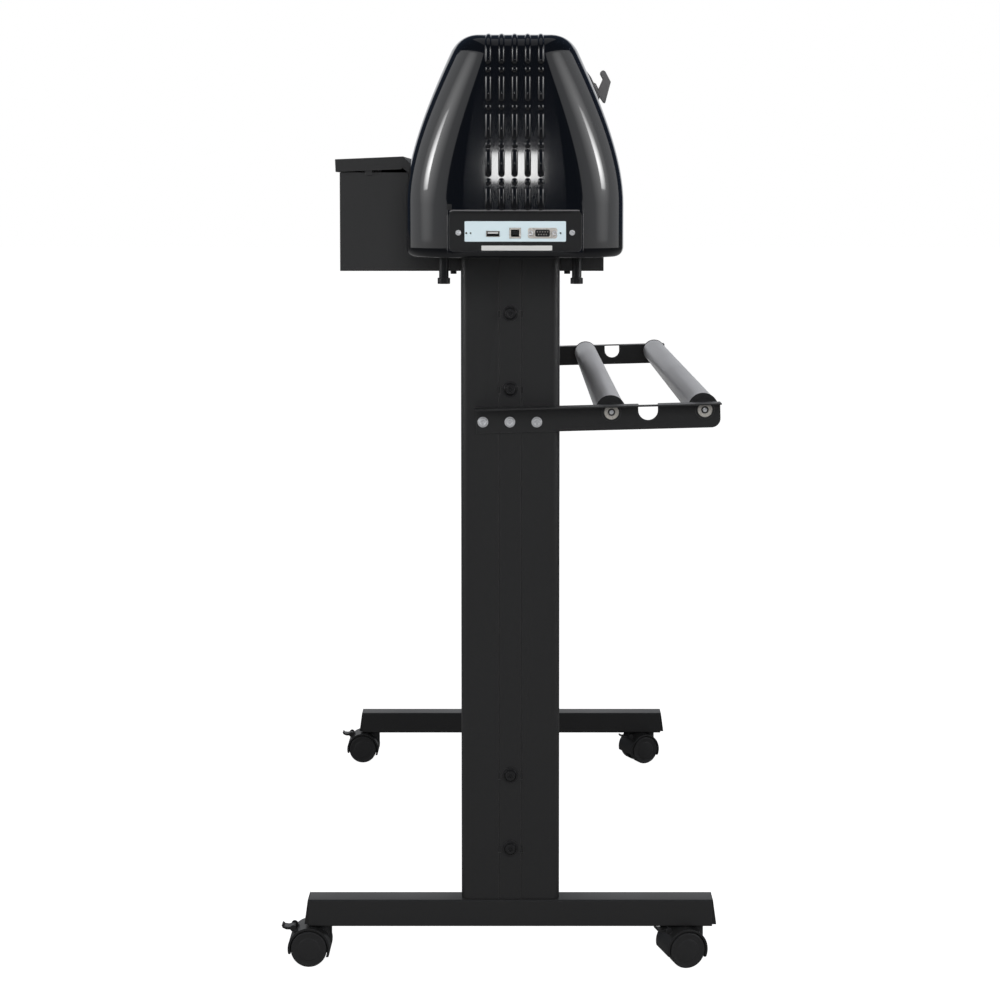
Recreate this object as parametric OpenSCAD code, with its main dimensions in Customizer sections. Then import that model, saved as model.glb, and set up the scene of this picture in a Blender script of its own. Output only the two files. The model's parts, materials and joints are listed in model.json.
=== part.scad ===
// Vinyl cutter on a castered stand. Millimetres, +Z up, floor at z = 0.
// +X is the operator's right, -Y the operator's side, +Y the roll side.
// Inside the modules, Y counts from the centreline of the columns; placed() moves it to the frame.

/* [Stand] */
// Width over the outer faces of the two feet
stand_w = 918; // [900:2:930]
// Length of each foot tube
foot_len = 448; // [430:2:460]
// Side of the square foot tube
foot_size = 30; // [28:1:32]
// Width of a column, front to rear
column_w = 108.4; // [100:0.4:116]
// Depth of a column, side to side
column_d = 30; // [28:1:34]
// Corner radius of a column
column_r = 9.5; // [6:0.5:12]
// Height of each crossbeam
beam_h = 110; // [90:2:112]
// Wall of the column and crossbeam tubes
tube_wall = 2; // [1.5:0.5:3]

/* [Casters] */
// Diameter of a caster wheel
wheel_d = 40; // [38:1:40]
// Distance from the foot's middle to each caster stem
stem_y = 207; // [195:1:208]
// Trail of the wheel axle behind the stem
trail = 16.5; // [15:0.5:17]

/* [Roll holder] */
// Diameter of the support rollers
roller_d = 32; // [28:1:34]
// Front roller axis behind the column centreline
front_roller_y = 110.8; // [105:0.2:115]
// Rear roller axis behind the column centreline
rear_roller_y = 213; // [205:0.5:215]
// Upward tilt of the roll brackets towards the rear
bracket_tilt = 1.5; // [0:0.1:2]

/* [Machine] */
// Length over the two end caps
machine_len = 1120; // [1100:2:1140]
// Half width of an end cap at its widest
cap_half_w = 116.3; // [112:0.5:120]
// Height of the top of the end caps, between their ribs
cap_top = 1023.4; // [1020:0.2:1030]
// Wall of the moulded covers
cap_wall = 2.5; // [2:0.5:3]
// Distance between the ribs of an end cap
rib_pitch = 13.7; // [12:0.1:14]
// Radius of a rib
rib_r = 3.7; // [3:0.1:4]
// Height of the platen's top face
platen_z = 897; // [896:0.5:898]
// Places of the pinch units along the machine
pinch_spacing = 300; // [280:5:300]

/* [Hidden] */
$fn = 48;
run_fit = 0.05;          // radial clearance of a turning pin
clear = 0.3;             // gap between parts that move past each other

// Frame: the stand is moved so that the whole object's box is centred on the origin
stand_y = 12.45;

// Stand heights
wheel_r = wheel_d / 2;
foot_z0 = 44;
foot_z1 = foot_z0 + foot_size;
foot_x1 = stand_w / 2;
foot_x0 = foot_x1 - foot_size;
foot_wall = 1.5;
column_x1 = foot_x1 - 3;
column_x0 = column_x1 - column_d;
head_z0 = 786.2;
base_z = 789;
bolt_z = [725.4, 642.4, 213.8, 131.6];
bolt_hole_r = 4.1;
groove_y = 12.2;

// Roll holder
bracket_t = 1.8;
bracket_pivot_z = 608.8;
roller_axis_z = 614.45;
bearing_r = 8;
stub_r = 4;
notch_y = 151;
notch_r = 10.75;

// Machine cross-section
rib_h = 2.4;
cap_x1 = machine_len / 2 - rib_h;
plate_x = 440;
plate_t = 3;
mid_y = 4.7;
shaft_y = 20;
sleeve_r = 10;
shaft_z = platen_z + 0.4 - sleeve_r;
rail_y0 = 8;
rail_y1 = 48;
rail_z0 = 930;
rail_z1 = 985;
tool_y = -34;
carriage_x = 370;
pinch_r = 8;
pinch_z = platen_z + 0.8 + pinch_r;
pinch_x = [pinch_spacing, 0, -pinch_spacing];
arm_pivot = [54, 924];
lever_pivot = [66, 992];

// Colours
c_powder = "#2b2b2d";
c_gloss = "#0c0c0e";
c_black = "#19191a";
c_grey = "#4a484a";
c_tube = "#9a9a9e";
c_steel = "#c4c4c8";
c_ice = "#d5ecf5";

// ---------- shape helpers ----------
module placed() translate([0, stand_y, 0]) children();
module box3(x, y, z) translate([x[0], y[0], z[0]]) cube([x[1] - x[0], y[1] - y[0], z[1] - z[0]]);
module xcyl(r, x, y, z) translate([x[0], y, z]) rotate([0, 90, 0]) cylinder(r = r, h = x[1] - x[0]);
module ycyl(r, x, y, z) translate([x, y[1], z]) rotate([90, 0, 0]) cylinder(r = r, h = y[1] - y[0]);
module zcyl(r, x, y, z) translate([x, y, z[0]]) cylinder(r = r, h = z[1] - z[0]);
// A profile drawn in (Y, Z), made solid along X
module along_x(x) translate([x[0], 0, 0]) rotate([90, 0, 90]) linear_extrude(x[1] - x[0]) children();
// A profile drawn in (X, Z), made solid along Y
module along_y(y) translate([0, y[1], 0]) rotate([90, 0, 0]) linear_extrude(y[1] - y[0]) children();
// A revolved profile, drawn as (radius, X), turned onto the X axis through y, z
module about_x(y, z) translate([0, y, z]) rotate([0, 90, 0]) rotate_extrude() children();
module mirror_copy(axis) { children(); mirror(axis) children(); }

module round_box(x, y, r) {
  translate([x[0] + r, y[0]]) square([x[1] - x[0] - 2 * r, y[1] - y[0]]);
  translate([x[0], y[0] + r]) square([x[1] - x[0], y[1] - y[0] - 2 * r]);
  for (cx = [x[0] + r, x[1] - r], cy = [y[0] + r, y[1] - r]) translate([cx, cy]) circle(r);
}

function bezier(p, t) = len(p) == 1 ? p[0]
  : bezier([for (i = [0:len(p) - 2]) p[i] * (1 - t) + p[i + 1] * t], t);
function curve(p, n) = [for (i = [0:n]) bezier(p, i / n)];

// ---------- stand ----------
module foot(side) color(c_powder) mirror([side < 0 ? 1 : 0, 0, 0]) difference() {
  along_y([-foot_len / 2, foot_len / 2]) difference() {
    round_box([foot_x0, foot_x1], [foot_z0, foot_z1], 1.8);
    translate([foot_x0 + foot_wall, foot_z0 + foot_wall]) square(foot_size - 2 * foot_wall);
  }
  for (y = [-stem_y, stem_y])
    zcyl(4.1, foot_x0 + foot_size / 2, y, [foot_z0 - 1, foot_z0 + foot_wall + 1]);
}

module foot_end_plugs() color(c_black) mirror_copy([1, 0, 0]) mirror_copy([0, 1, 0]) {
  y0 = foot_len / 2;
  along_x([foot_x0, foot_x1])
    polygon([[y0, foot_z1], [y0 + 0.8, foot_z1], [y0 + 4.6, foot_z0 + 2.4], [y0, foot_z0 + 2.4]]);
  box3([foot_x0 + 1.6, foot_x1 - 1.6], [y0 - 8, y0 + 0.1], [foot_z0 + 2.4, foot_z1 - 1.6]);
}

module caster_stems() color(c_steel) mirror_copy([1, 0, 0]) for (y = [-stem_y, stem_y]) {
  x = foot_x0 + foot_size / 2;
  zcyl(4, x, y, [27, 60]);
  translate([x, y, foot_z0 + foot_wall]) cylinder(r = 7.5, h = 6.5, $fn = 6);
}

module column_outline(inset) {
  round_box([column_x0 + inset, column_x1 - inset],
            [-column_w / 2 + inset, column_w / 2 - inset], column_r - inset);
}

// One leg: the tube, its two shallow grooves and the welded plate that carries the machine
module column(side) color(c_powder) mirror([side < 0 ? 1 : 0, 0, 0]) difference() {
  union() {
    translate([0, 0, foot_z1]) linear_extrude(head_z0 - foot_z1) difference() {
      column_outline(0);
      column_outline(tube_wall);
    }
    box3([398, 480], [-92, 92], [head_z0, base_z]);
  }
  for (y = [-groove_y, groove_y]) {
    box3([column_x1 - 0.8, column_x1 + 1], [y - 0.6, y + 0.6], [foot_z1 - 1, head_z0]);
    for (z = bolt_z) box3([column_x1 - 1.4, column_x1 + 1], [y - 1.4, y + 1.4], [z - 5, z + 3]);
  }
  for (z = bolt_z) xcyl(bolt_hole_r, [column_x0 - 1, column_x1 + 1], 0, z);
  for (y = [-30, -0.5, 29]) xcyl(2.6, [column_x1 - tube_wall - 1, column_x1 + 1], y, 606.4);
  for (y = [-72, 72]) zcyl(4.1, 470, y, [head_z0 - 1, base_z + 1]);
  for (y = [-63, 63]) zcyl(2.1, 414, y, [head_z0 - 1, base_z + 1]);
  box3([397, 425], [-93, -81.4], [head_z0 - 1, base_z + 1]);
}

module crossbeams() color(c_powder) for (z = [(bolt_z[0] + bolt_z[1]) / 2, (bolt_z[2] + bolt_z[3]) / 2]) {
  difference() {
    union() {
      along_x([-column_x0 + 4, column_x0 - 4]) difference() {
        round_box([-20, 20], [z - beam_h / 2, z + beam_h / 2], 4);
        round_box([-20 + tube_wall, 20 - tube_wall],
                  [z - beam_h / 2 + tube_wall, z + beam_h / 2 - tube_wall], 4 - tube_wall);
      }
      for (x = [-column_x0, column_x0 - 4])
        box3([x, x + 4], [-20, 20], [z - beam_h / 2, z + beam_h / 2]);
    }
    for (dz = [-41.3, 41.3], x = [-column_x0 - 1, column_x0 - 5]) xcyl(bolt_hole_r, [x, x + 6], 0, z + dz);
  }
}

module crossbeam_bolts() for (z = bolt_z) difference() {
  union() {
    xcyl(4, [column_x0 - 12, column_x1 + 0.5], 0, z);
    xcyl(9, [column_x1, column_x1 + 1.2], 0, z);
    translate([column_x1 + 1.2, 0, z]) rotate([0, 90, 0]) cylinder(r1 = 7, r2 = 5.2, h = 4);
  }
  translate([column_x1 + 3, 0, z]) rotate([0, 90, 0]) cylinder(r = 2.9, h = 4, $fn = 6);
}

// Two large clamp bolts up into the machine's foot, and two small bolts through the table's arm
module machine_bolts() {
  for (y = [-72, 72]) {
    zcyl(6.8, 470, y, [758.3, 764.8]);
    zcyl(5.2, 470, y, [764.8, head_z0]);
    zcyl(4, 470, y, [head_z0, 799]);
  }
  for (y = [-63, 63]) {
    zcyl(3.4, 414, y, [767, 770.5]);
    zcyl(2, 414, y, [770.5, 796]);
  }
}

module frame_bolts() color(c_black) mirror_copy([1, 0, 0]) {
  crossbeam_bolts();
  machine_bolts();
}

// ---------- roll holder ----------
module tilted() translate([0, 0, bracket_pivot_z]) rotate([bracket_tilt, 0, 0])
  translate([0, 0, -bracket_pivot_z]) children();

module roll_bracket(side) color(c_powder) mirror([side < 0 ? 1 : 0, 0, 0]) difference() {
  x0 = column_x1;
  x1 = x0 + bracket_t;
  z0 = 594.7;
  z1 = 622.9;
  tilted() difference() {
    union() {
      along_x([x0, x1]) {
        translate([-37.5, z0]) square([257.5, z1 - z0]);
        translate([219, z0 + 10]) square([11, z1 - z0 - 10]);
        translate([220, z0 + 10]) circle(10);
      }
      box3([x0, x0 + 22], [-37.5, 230], [z1 - 1.6, z1]);
      for (y = [front_roller_y, rear_roller_y]) difference() {
        xcyl(10.6, [x0, x0 + 3.4], y, roller_axis_z);
        box3([x0 - 1, x0 + 5], [y - 12, y + 12], [z1 - 1, z1 + 5]);
      }
    }
    xcyl(notch_r, [x0 - 1, x0 + 14], notch_y, z0 + 20.7);
    box3([x0 - 1, x0 + 14], [notch_y - notch_r, notch_y + notch_r], [z0 + 20.7, z1 + 1]);
    for (y = [front_roller_y, rear_roller_y])
      xcyl(bearing_r + run_fit, [x0 - 1, x0 + 6], y, roller_axis_z);
  }
  for (y = [-30, -0.5, 29]) xcyl(2.6, [x0 - 1, x1 + 1], y, 606.4);
}

module bracket_screws() color(c_steel) mirror_copy([1, 0, 0]) for (y = [-30, -0.5, 29]) {
  x = column_x1 + bracket_t;
  difference() {
    union() {
      xcyl(2.5, [x - 9, x + 0.5], y, 606.4);
      xcyl(6, [x, x + 1], y, 606.4);
      translate([x + 1, y, 606.4]) rotate([0, 90, 0]) cylinder(r1 = 5, r2 = 3.6, h = 2.2);
    }
    box3([x + 2, x + 4], [y - 2.8, y + 2.8], [605.9, 606.9]);
    box3([x + 2, x + 4], [y - 0.5, y + 0.5], [603.6, 609.2]);
  }
}

module roller_bearings() color(c_steel) mirror_copy([1, 0, 0]) tilted()
  for (y = [front_roller_y, rear_roller_y]) about_x(y, roller_axis_z) {
    x0 = column_x1 - 1;
    polygon([[stub_r + 0.03, x0], [5.4, x0], [5.4, x0 + 0.5], [6.6, x0 + 0.5], [6.6, x0], [bearing_r, x0],
             [bearing_r, x0 + 5], [6.6, x0 + 5], [6.6, x0 + 4.5], [5.4, x0 + 4.5], [5.4, x0 + 5],
             [stub_r + 0.03, x0 + 5]]);
  }

// A roll-support roller: the tube and a plug with its stub shaft at each end
module roller(y) tilted() {
  tube_x = 436;
  color(c_tube) about_x(y, roller_axis_z)
    translate([roller_d / 2 - 1.5, -tube_x]) square([1.5, 2 * tube_x]);
  color(c_black) mirror_copy([1, 0, 0]) {
    xcyl(roller_d / 2 - 1.55, [tube_x - 12, tube_x + 0.1], y, roller_axis_z);
    xcyl(roller_d / 2 + 0.8, [tube_x + 0.05, tube_x + 2.6], y, roller_axis_z);
    xcyl(7, [tube_x + 2.6, column_x1 - 2], y, roller_axis_z);
    xcyl(stub_r, [tube_x, column_x1 + 4], y, roller_axis_z);
  }
}
module front_roller() roller(front_roller_y);
module rear_roller() roller(rear_roller_y);

// ---------- casters: drawn with the stem on the Z axis, then turned and moved to their corner ----------
caster_turn = [["fr", 1, -1, 0], ["rr", 1, 1, 15], ["fl", -1, -1, 0], ["rl", -1, 1, 25]];
function caster_of(id) = [for (c = caster_turn) if (c[0] == id) c][0];
module caster_place(id) {
  c = caster_of(id);
  translate([c[1] * (foot_x0 + foot_size / 2), c[2] * stem_y, 0]) rotate([0, 0, c[3]]) children();
}
fender_r = 23.5;
well_r = wheel_r + 0.8;
web_x = 5.6;
wheel_x = [6.5, 22];
brake_y = -trail - 18;
brake_z = wheel_r + 19.8;

module caster_housing(id) color(c_black) caster_place(id) difference() {
  union() {
    xcyl(fender_r, [-21, 21], -trail, wheel_r);
    zcyl(8, 0, 0, [wheel_r, foot_z0 - 0.4]);
    for (x = [[-9.6, -7.2], [7.2, 9.6]]) xcyl(3.7, x, brake_y, brake_z);
    xcyl(1.2, [-9, 9], brake_y, brake_z);
  }
  for (x = [[-24, -web_x], [web_x, 24]]) xcyl(well_r, x, -trail, wheel_r);
  box3([-30, 30], [-60, -trail], [-5, 14.5]);
  box3([-30, 30], [-trail - 1, 30], [-5, 11]);
  xcyl(3 + run_fit, [-8, 8], -trail, wheel_r);
  zcyl(4 + run_fit, 0, 0, [26, foot_z0]);
}

module caster_wheels(id) color(c_black) caster_place(id) about_x(-trail, wheel_r) {
  w = wheel_x;
  polygon([[0, -w[1]], [12, -w[1]], [12.5, -w[1] + 0.6], [17.5, -w[1] + 0.6], [18.2, -w[1] + 0.2],
           [19.4, -w[1] + 0.7], [wheel_r, -w[1] + 2], [wheel_r, -w[0] - 1], [19.2, -w[0]], [3, -w[0]],
           [3, w[0]], [19.2, w[0]], [wheel_r, w[0] + 1], [wheel_r, w[1] - 2], [19.4, w[1] - 0.7],
           [18.2, w[1] - 0.2], [17.5, w[1] - 0.6], [12.5, w[1] - 0.6], [12, w[1]], [0, w[1]]]);
}

module caster_brake(id) color(c_black) caster_place(id) difference() {
  union() {
    xcyl(2.3, [-6.8, 6.8], brake_y, brake_z);
    along_x([-6.8, 6.8]) translate([-trail, wheel_r]) polygon([[-18, 22.1], [-24, 20.6], [-28.4, 21.2],
      [-30.4, 23.2], [-31.4, 22.4], [-30.2, 19.6], [-26, 17.8], [-18, 17.6]]);
  }
  xcyl(1.2 + run_fit, [-8, 8], brake_y, brake_z);
}

// ---------- machine: base ----------
// Base extrusion: two long cells with a web between them
module chassis() color(c_powder) difference() {
  along_x([-plate_x + 0.5, plate_x - 0.5]) difference() {
    translate([-78, base_z + 0.2]) square([162, 79]);
    translate([-75, base_z + 3]) square([100, 73.2]);
    translate([28, base_z + 3]) square([53, 73.2]);
  }
  for (x = [-414, 414], y = [-63, 63]) zcyl(2.1, x, y, [base_z - 1, base_z + 5]);
}

feed_motor = [-18, 828];
module end_plates() color(c_steel) mirror_copy([1, 0, 0]) difference() {
  union() {
    along_x([plate_x, plate_x + plate_t]) cap_outline(cap_wall + 0.3);
    box3([plate_x, 480], [-84, 84], [base_z + 2.8, base_z + 5.3]);
    for (y = [-72, 72]) zcyl(7, 470, y, [base_z + 2.8, base_z + 10]);
  }
  for (y = [-72, 72]) zcyl(4.1, 470, y, [base_z, base_z + 12]);
  xcyl(6 + run_fit, [plate_x - 1, plate_x + plate_t + 1], shaft_y, shaft_z);
  xcyl(12, [plate_x - 1, plate_x + plate_t + 1], feed_motor[0], feed_motor[1]);
  box3([plate_x - 1, plate_x + plate_t + 1], [4, 36], [985.5, 997]);
}

grit_len = 240;
module platen() color(c_tube) difference() {
  along_x([-plate_x + 0.5, plate_x - 0.5]) {
    difference() {
      union() {
        translate([-84, platen_z - 4]) square([172, 4]);
        for (y = [-84, 88]) translate([y, platen_z - 16]) circle(16);
      }
      for (y = [-84, 88]) translate([y, platen_z - 16]) circle(12);
      translate([-84, platen_z - 40]) square([172, 36]);
      translate([-110, platen_z - 40]) square([230, 24]);
    }
    translate([-78, platen_z - 28.8]) square([3, 26]);
    translate([81, platen_z - 28.8]) square([3, 26]);
  }
  for (x = pinch_x) box3([x - grit_len / 2 - 3, x + grit_len / 2 + 3], [shaft_y - 10.5, shaft_y + 10.5],
                         [platen_z - 5, platen_z + 1]);
  box3([-432, 432], [tool_y - 3, tool_y + 3], [platen_z - 1.5, platen_z + 1]);
}

module cutting_strip() color("#e8e8e2")
  box3([-431.8, 431.8], [tool_y - 2.9, tool_y + 2.9], [platen_z - 1.5, platen_z - 0.1]);

// Curved sheet that leads the vinyl up from the roll to the platen
module rear_apron() color(c_powder) along_x([-plate_x + 0.5, plate_x - 0.5]) {
  difference() {
    union() {
      translate([104.4, 812]) square([1.6, platen_z - 16 - 812]);
      translate([94, 812]) circle(12);
    }
    translate([94, 812]) circle(10.4);
    translate([80, 812]) square([24.4, 20]);
    translate([80, 790]) square([14, 30]);
  }
  translate([84, 800]) square([10, 1.6]);
}

// ---------- front table ----------
table_x = 424;
table_z = [770.5, 879];
module front_table() color(c_powder) difference() {
  union() {
    box3([-table_x, table_x], [-188, -82], table_z);
    mirror_copy([1, 0, 0]) {
      box3([table_x - 1.5, table_x], [-83, 103], [table_z[0], head_z0]);
      box3([table_x - 17, table_x], [-83, 103], [table_z[0], table_z[0] + 1.5]);
    }
  }
  box3([-table_x + 1.5, table_x - 1.5], [-186.5, -83.5], [table_z[0] + 1.5, table_z[1] + 1]);
  for (x = [-414, 414], y = [-63, 63]) zcyl(2.1, x, y, [table_z[0] - 1, table_z[0] + 3]);
}

module table_lid() color(c_powder) {
  difference() {
    along_x([-table_x - 3, table_x + 3]) translate([-192.3, 879.5]) rotate(2.4)
      polygon([[0, 0], [0, 14], [75, 14], [86, 2], [86, -8.5], [84.2, -8.5], [73, 2], [73, 0]]);
    along_x([-table_x - 1.5, table_x + 1.5]) translate([-192.3, 879.5]) rotate(2.4)
      polygon([[1.5, -1], [1.5, 12.5], [74.2, 12.5], [84.5, 1.3], [84.5, -10], [73, -10], [73, -1]]);
    mirror_copy([1, 0, 0]) box3([table_x - 2, table_x + 4], [-114, -100], [870, table_z[1] + 0.4]);
  }
  mirror_copy([1, 0, 0]) box3([table_x + 0.2, table_x + 1.6], [-160, -152], [876, 882.6]);
}

// ---------- machine: rail and covers ----------
module carriage_rail() color(c_tube) {
  along_x([-plate_x + 0.5, plate_x - 0.5]) difference() {
    translate([rail_y0, rail_z0]) square([rail_y1 - rail_y0, rail_z1 - rail_z0]);
    translate([rail_y0 + 3, rail_z0 + 3]) square([rail_y1 - rail_y0 - 10, 22]);
    translate([rail_y0 + 3, rail_z0 + 28]) square([rail_y1 - rail_y0 - 10, 24]);
    translate([rail_y1 - 3, rail_z0 + 22]) square([4, 8]);
  }
  color(c_steel) box3([-plate_x + 3, plate_x - 3], [rail_y0 - 6, rail_y0], [950, 962]);
}

// Hood over the rail: front lip, steep front, flat top and rear drip edge
hood = [-25.5, 981];
hood_slope = atan2(1006 - hood[1], 11.5);
module top_cover() color(c_gloss) along_x([-plate_x + 0.6, plate_x - 0.6])
  polygon([[hood[0], 966], hood, [hood[0] + 11.5, 1006], [58, 1006], [58, 999], [55.8, 999], [55.8, 1003.8],
           [hood[0] + 13.1, 1003.8], [hood[0] + 2.2, 980.6], [hood[0] + 2.2, 966]]);

panel_x = [302, 432];
module control_panel() color(c_black) translate([0, hood[0], hood[1]]) rotate([hood_slope, 0, 0]) {
  box3(panel_x, [1, 26.5], [0.05, 2]);
  color("#34383a") box3([314, 362], [5, 22], [2, 2.5]);
  for (x = [376, 392, 408], y = [5, 15]) color(c_grey) box3([x, x + 11], [y, y + 7], [2, 2.6]);
}

// ---------- end caps ----------
// Outline of a cap in (Y, Z): round lower corner, straight side, long flank and round shoulder.
// k narrows it, drop rolls its top down, lift raises its bottom, and inset shrinks it all round.
roll_z = 940;
function rolled(z, drop) = z - drop * pow(max(0, z - roll_z) / (cap_top - roll_z), 2);
function cap_half(k, drop, lift, inset) = concat(
  [for (a = [-90:22.5:0]) [k * cap_half_w - inset - 10 + 10 * cos(a), base_z + lift + inset + 10 + 10 * sin(a)]],
  [for (p = curve([[cap_half_w, 845], [cap_half_w, 890], [96.3, 944.4], [67, 1007]], 8))
    [k * p[0] - inset, rolled(p[1], drop) - inset * (p[1] - 845) / 163]],
  [for (p = curve([[67, 1007], [58, cap_top], [40, cap_top]], 4))
    if (p[1] > 1008) [k * p[0] - inset, rolled(p[1], drop) - inset]]);
function cap_points(k, drop, lift, inset) = let (h = cap_half(k, drop, lift, inset)) concat(
  [for (p = h) [mid_y + p[0], p[1]]], [for (i = [len(h) - 1:-1:0]) [mid_y - h[i][0], h[i][1]]]);
module cap_outline(inset) polygon(cap_points(1, 0, 0, inset));
// Loaf shape: the outer face is a flat panel. Flanks and crown curve back to the full outline.
bulge = 56;
crown_run = 40;
crown_drop = 18.5;
function width_at(d) = 0.46 + 0.54 * sqrt(1 - pow(1 - min(d, bulge) / bulge, 2));
function drop_at(d) = crown_drop * (1 - sqrt(1 - pow(1 - min(d, crown_run) / crown_run, 2)));
function edge_at(d, r) = d >= r ? 0 : r - sqrt(r * r - pow(r - d, 2));
// A closed solid through outlines that all have the same number of points, from low X to high X
module loft(rings) {
  n = len(rings[0]);
  top = (len(rings) - 1) * n;
  polyhedron([for (r = rings) for (p = r) p], concat(
    [[for (j = [0:n - 1]) j], [for (j = [n - 1:-1:0]) top + j]],
    [for (i = [0:len(rings) - 2], j = [0:n - 1], half = [0, 1]) let (a = i * n + j, b = i * n + (j + 1) % n)
      half == 0 ? [a, a + n, b + n] : [a, b + n, b]]));
}
module cap_block(x_open, x_face, inset) loft([for (d = [x_face - x_open, bulge, 34, 18, 8, 2.5, 0])
  [for (p = cap_points(width_at(d), drop_at(d), edge_at(d, 7), inset)) [x_face - d, p[0], p[1]]]]);
// Five raised ribs on the face, and a bar over the crown above each of them
module cap_ribs() for (i = [-2:2]) let (y = i * rib_pitch) {
  box3([cap_x1 - 1, cap_x1 + rib_h], [mid_y + y - rib_r, mid_y + y + rib_r], [io_z + 21.5, 998]);
  box3([cap_x1 - 66, cap_x1 - 24], [mid_y + y - rib_r, mid_y + y + rib_r], [cap_top - 2, cap_top + 1.2]);
}
module cap_shell() difference() {
  cap_block(plate_x + plate_t + 0.3, cap_x1, 0);
  cap_block(plate_x + plate_t - 1, cap_x1 - cap_wall, cap_wall);
  for (y = [-72, 72]) zcyl(4.4, 470, y, [base_z - 1, base_z + cap_wall + 1]);
}

io_y = 5.4;
io_z = 816.4;
module right_end_cap() color(c_gloss) difference() {
  union() {
    cap_shell();
    cap_ribs();
    along_x([cap_x1 - 7, cap_x1 - 3.5]) translate([io_y, io_z]) square([142, 45], center = true);
  }
  along_x([cap_x1 - 4, cap_x1 + 1]) round_box([io_y - 69.4, io_y + 69.4], [io_z - 20.9, io_z + 20.9], 4.5);
  box3([cap_x1 - 20, cap_x1], [io_y - 50, io_y + 50], [io_z - 10, io_z + 8]);
  for (y = [-59.5, 59.5]) xcyl(1.6, [cap_x1 - 9, cap_x1], io_y + y, io_z - 1.2);
}

inlet_y = 30;
inlet_z = 830;
rocker_y = -20;
module left_end_cap() color(c_gloss) mirror([1, 0, 0]) difference() {
  union() {
    cap_shell();
    cap_ribs();
  }
  box3([cap_x1 - 10, cap_x1 + 1], [inlet_y - 13.7, inlet_y + 13.7], [inlet_z - 9.9, inlet_z + 9.9]);
  box3([cap_x1 - 10, cap_x1 + 1], [rocker_y - 11.1, rocker_y + 11.1], [inlet_z - 8.1, inlet_z + 8.1]);
}

// ---------- ports ----------
plate_face = cap_x1 - 3.2;
usb_a = [-23.4, -2.4];
usb_b = [-0.2, -1.6];
serial = [28.5, -1.6];
jack_gap = 25;
module io_plate() {
  color(c_ice) difference() {
    along_x([cap_x1 - 4, plate_face]) round_box([io_y - 53, io_y + 53], [io_z - 10.5, io_z + 10.9], 1.2);
    for (p = [[usb_a, 14.4, 6.4], [usb_b, 12.4, 11.2], [serial, 18.6, 10.2]])
      box3([cap_x1 - 6, cap_x1], [io_y + p[0][0] - p[1] / 2, io_y + p[0][0] + p[1] / 2],
           [io_z + p[0][1] - p[2] / 2, io_z + p[0][1] + p[2] / 2]);
    for (dy = [-jack_gap / 2, jack_gap / 2])
      xcyl(1.7, [cap_x1 - 6, cap_x1], io_y + serial[0] + dy, io_z + serial[1]);
    for (dy = [-51.2, -46.6, 47.3]) xcyl(1, [cap_x1 - 6, cap_x1], io_y + dy, io_z - 1.6);
  }
  color(c_steel) for (y = [-59.5, 59.5]) {
    xcyl(1.5, [cap_x1 - 10, cap_x1 - 3.9], io_y + y, io_z - 1.2);
    xcyl(3, [cap_x1 - 4, cap_x1 - 2.4], io_y + y, io_z - 1.2);
  }
}

module socket_shell(at, w, h, x, t) difference() {
  box3(x, [io_y + at[0] - w / 2, io_y + at[0] + w / 2], [io_z + at[1] - h / 2, io_z + at[1] + h / 2]);
  box3([x[0] + 2, x[1] + 1], [io_y + at[0] - w / 2 + t, io_y + at[0] + w / 2 - t],
       [io_z + at[1] - h / 2 + t, io_z + at[1] + h / 2 - t]);
}
module io_ports() {
  color(c_steel) {
    socket_shell(usb_a, 13.8, 5.9, [cap_x1 - 17, cap_x1 - 2.6], 0.4);
    socket_shell(usb_b, 12, 10.8, [cap_x1 - 19, cap_x1 - 2.6], 0.5);
    socket_shell(serial, 18, 9.6, [cap_x1 - 17, cap_x1 - 2], 0.5);
    for (dy = [-jack_gap / 2, jack_gap / 2]) difference() {
      union() {
        xcyl(1.6, [cap_x1 - 14, cap_x1 - 3.1], io_y + serial[0] + dy, io_z + serial[1]);
        translate([cap_x1 - 3.2, io_y + serial[0] + dy, io_z + serial[1]]) rotate([0, 90, 0])
          cylinder(r = 2.9, h = 2.6, $fn = 6);
      }
      xcyl(1.25, [cap_x1 - 11, cap_x1], io_y + serial[0] + dy, io_z + serial[1]);
    }
  }
  color(c_black) {
    box3([cap_x1 - 15.1, cap_x1 - 4.5], [io_y + usb_a[0] - 5.6, io_y + usb_a[0] + 5.6],
         [io_z + usb_a[1] + 0.3, io_z + usb_a[1] + 1.9]);
    box3([cap_x1 - 17.1, cap_x1 - 4.5], [io_y + usb_b[0] - 2.8, io_y + usb_b[0] + 2.8],
         [io_z + usb_b[1] - 1.6, io_z + usb_b[1] + 1.6]);
    box3([cap_x1 - 15.1, cap_x1 - 3], [io_y + serial[0] - 7.8, io_y + serial[0] + 7.8],
         [io_z + serial[1] - 3.8, io_z + serial[1] + 3.8]);
  }
}

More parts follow.
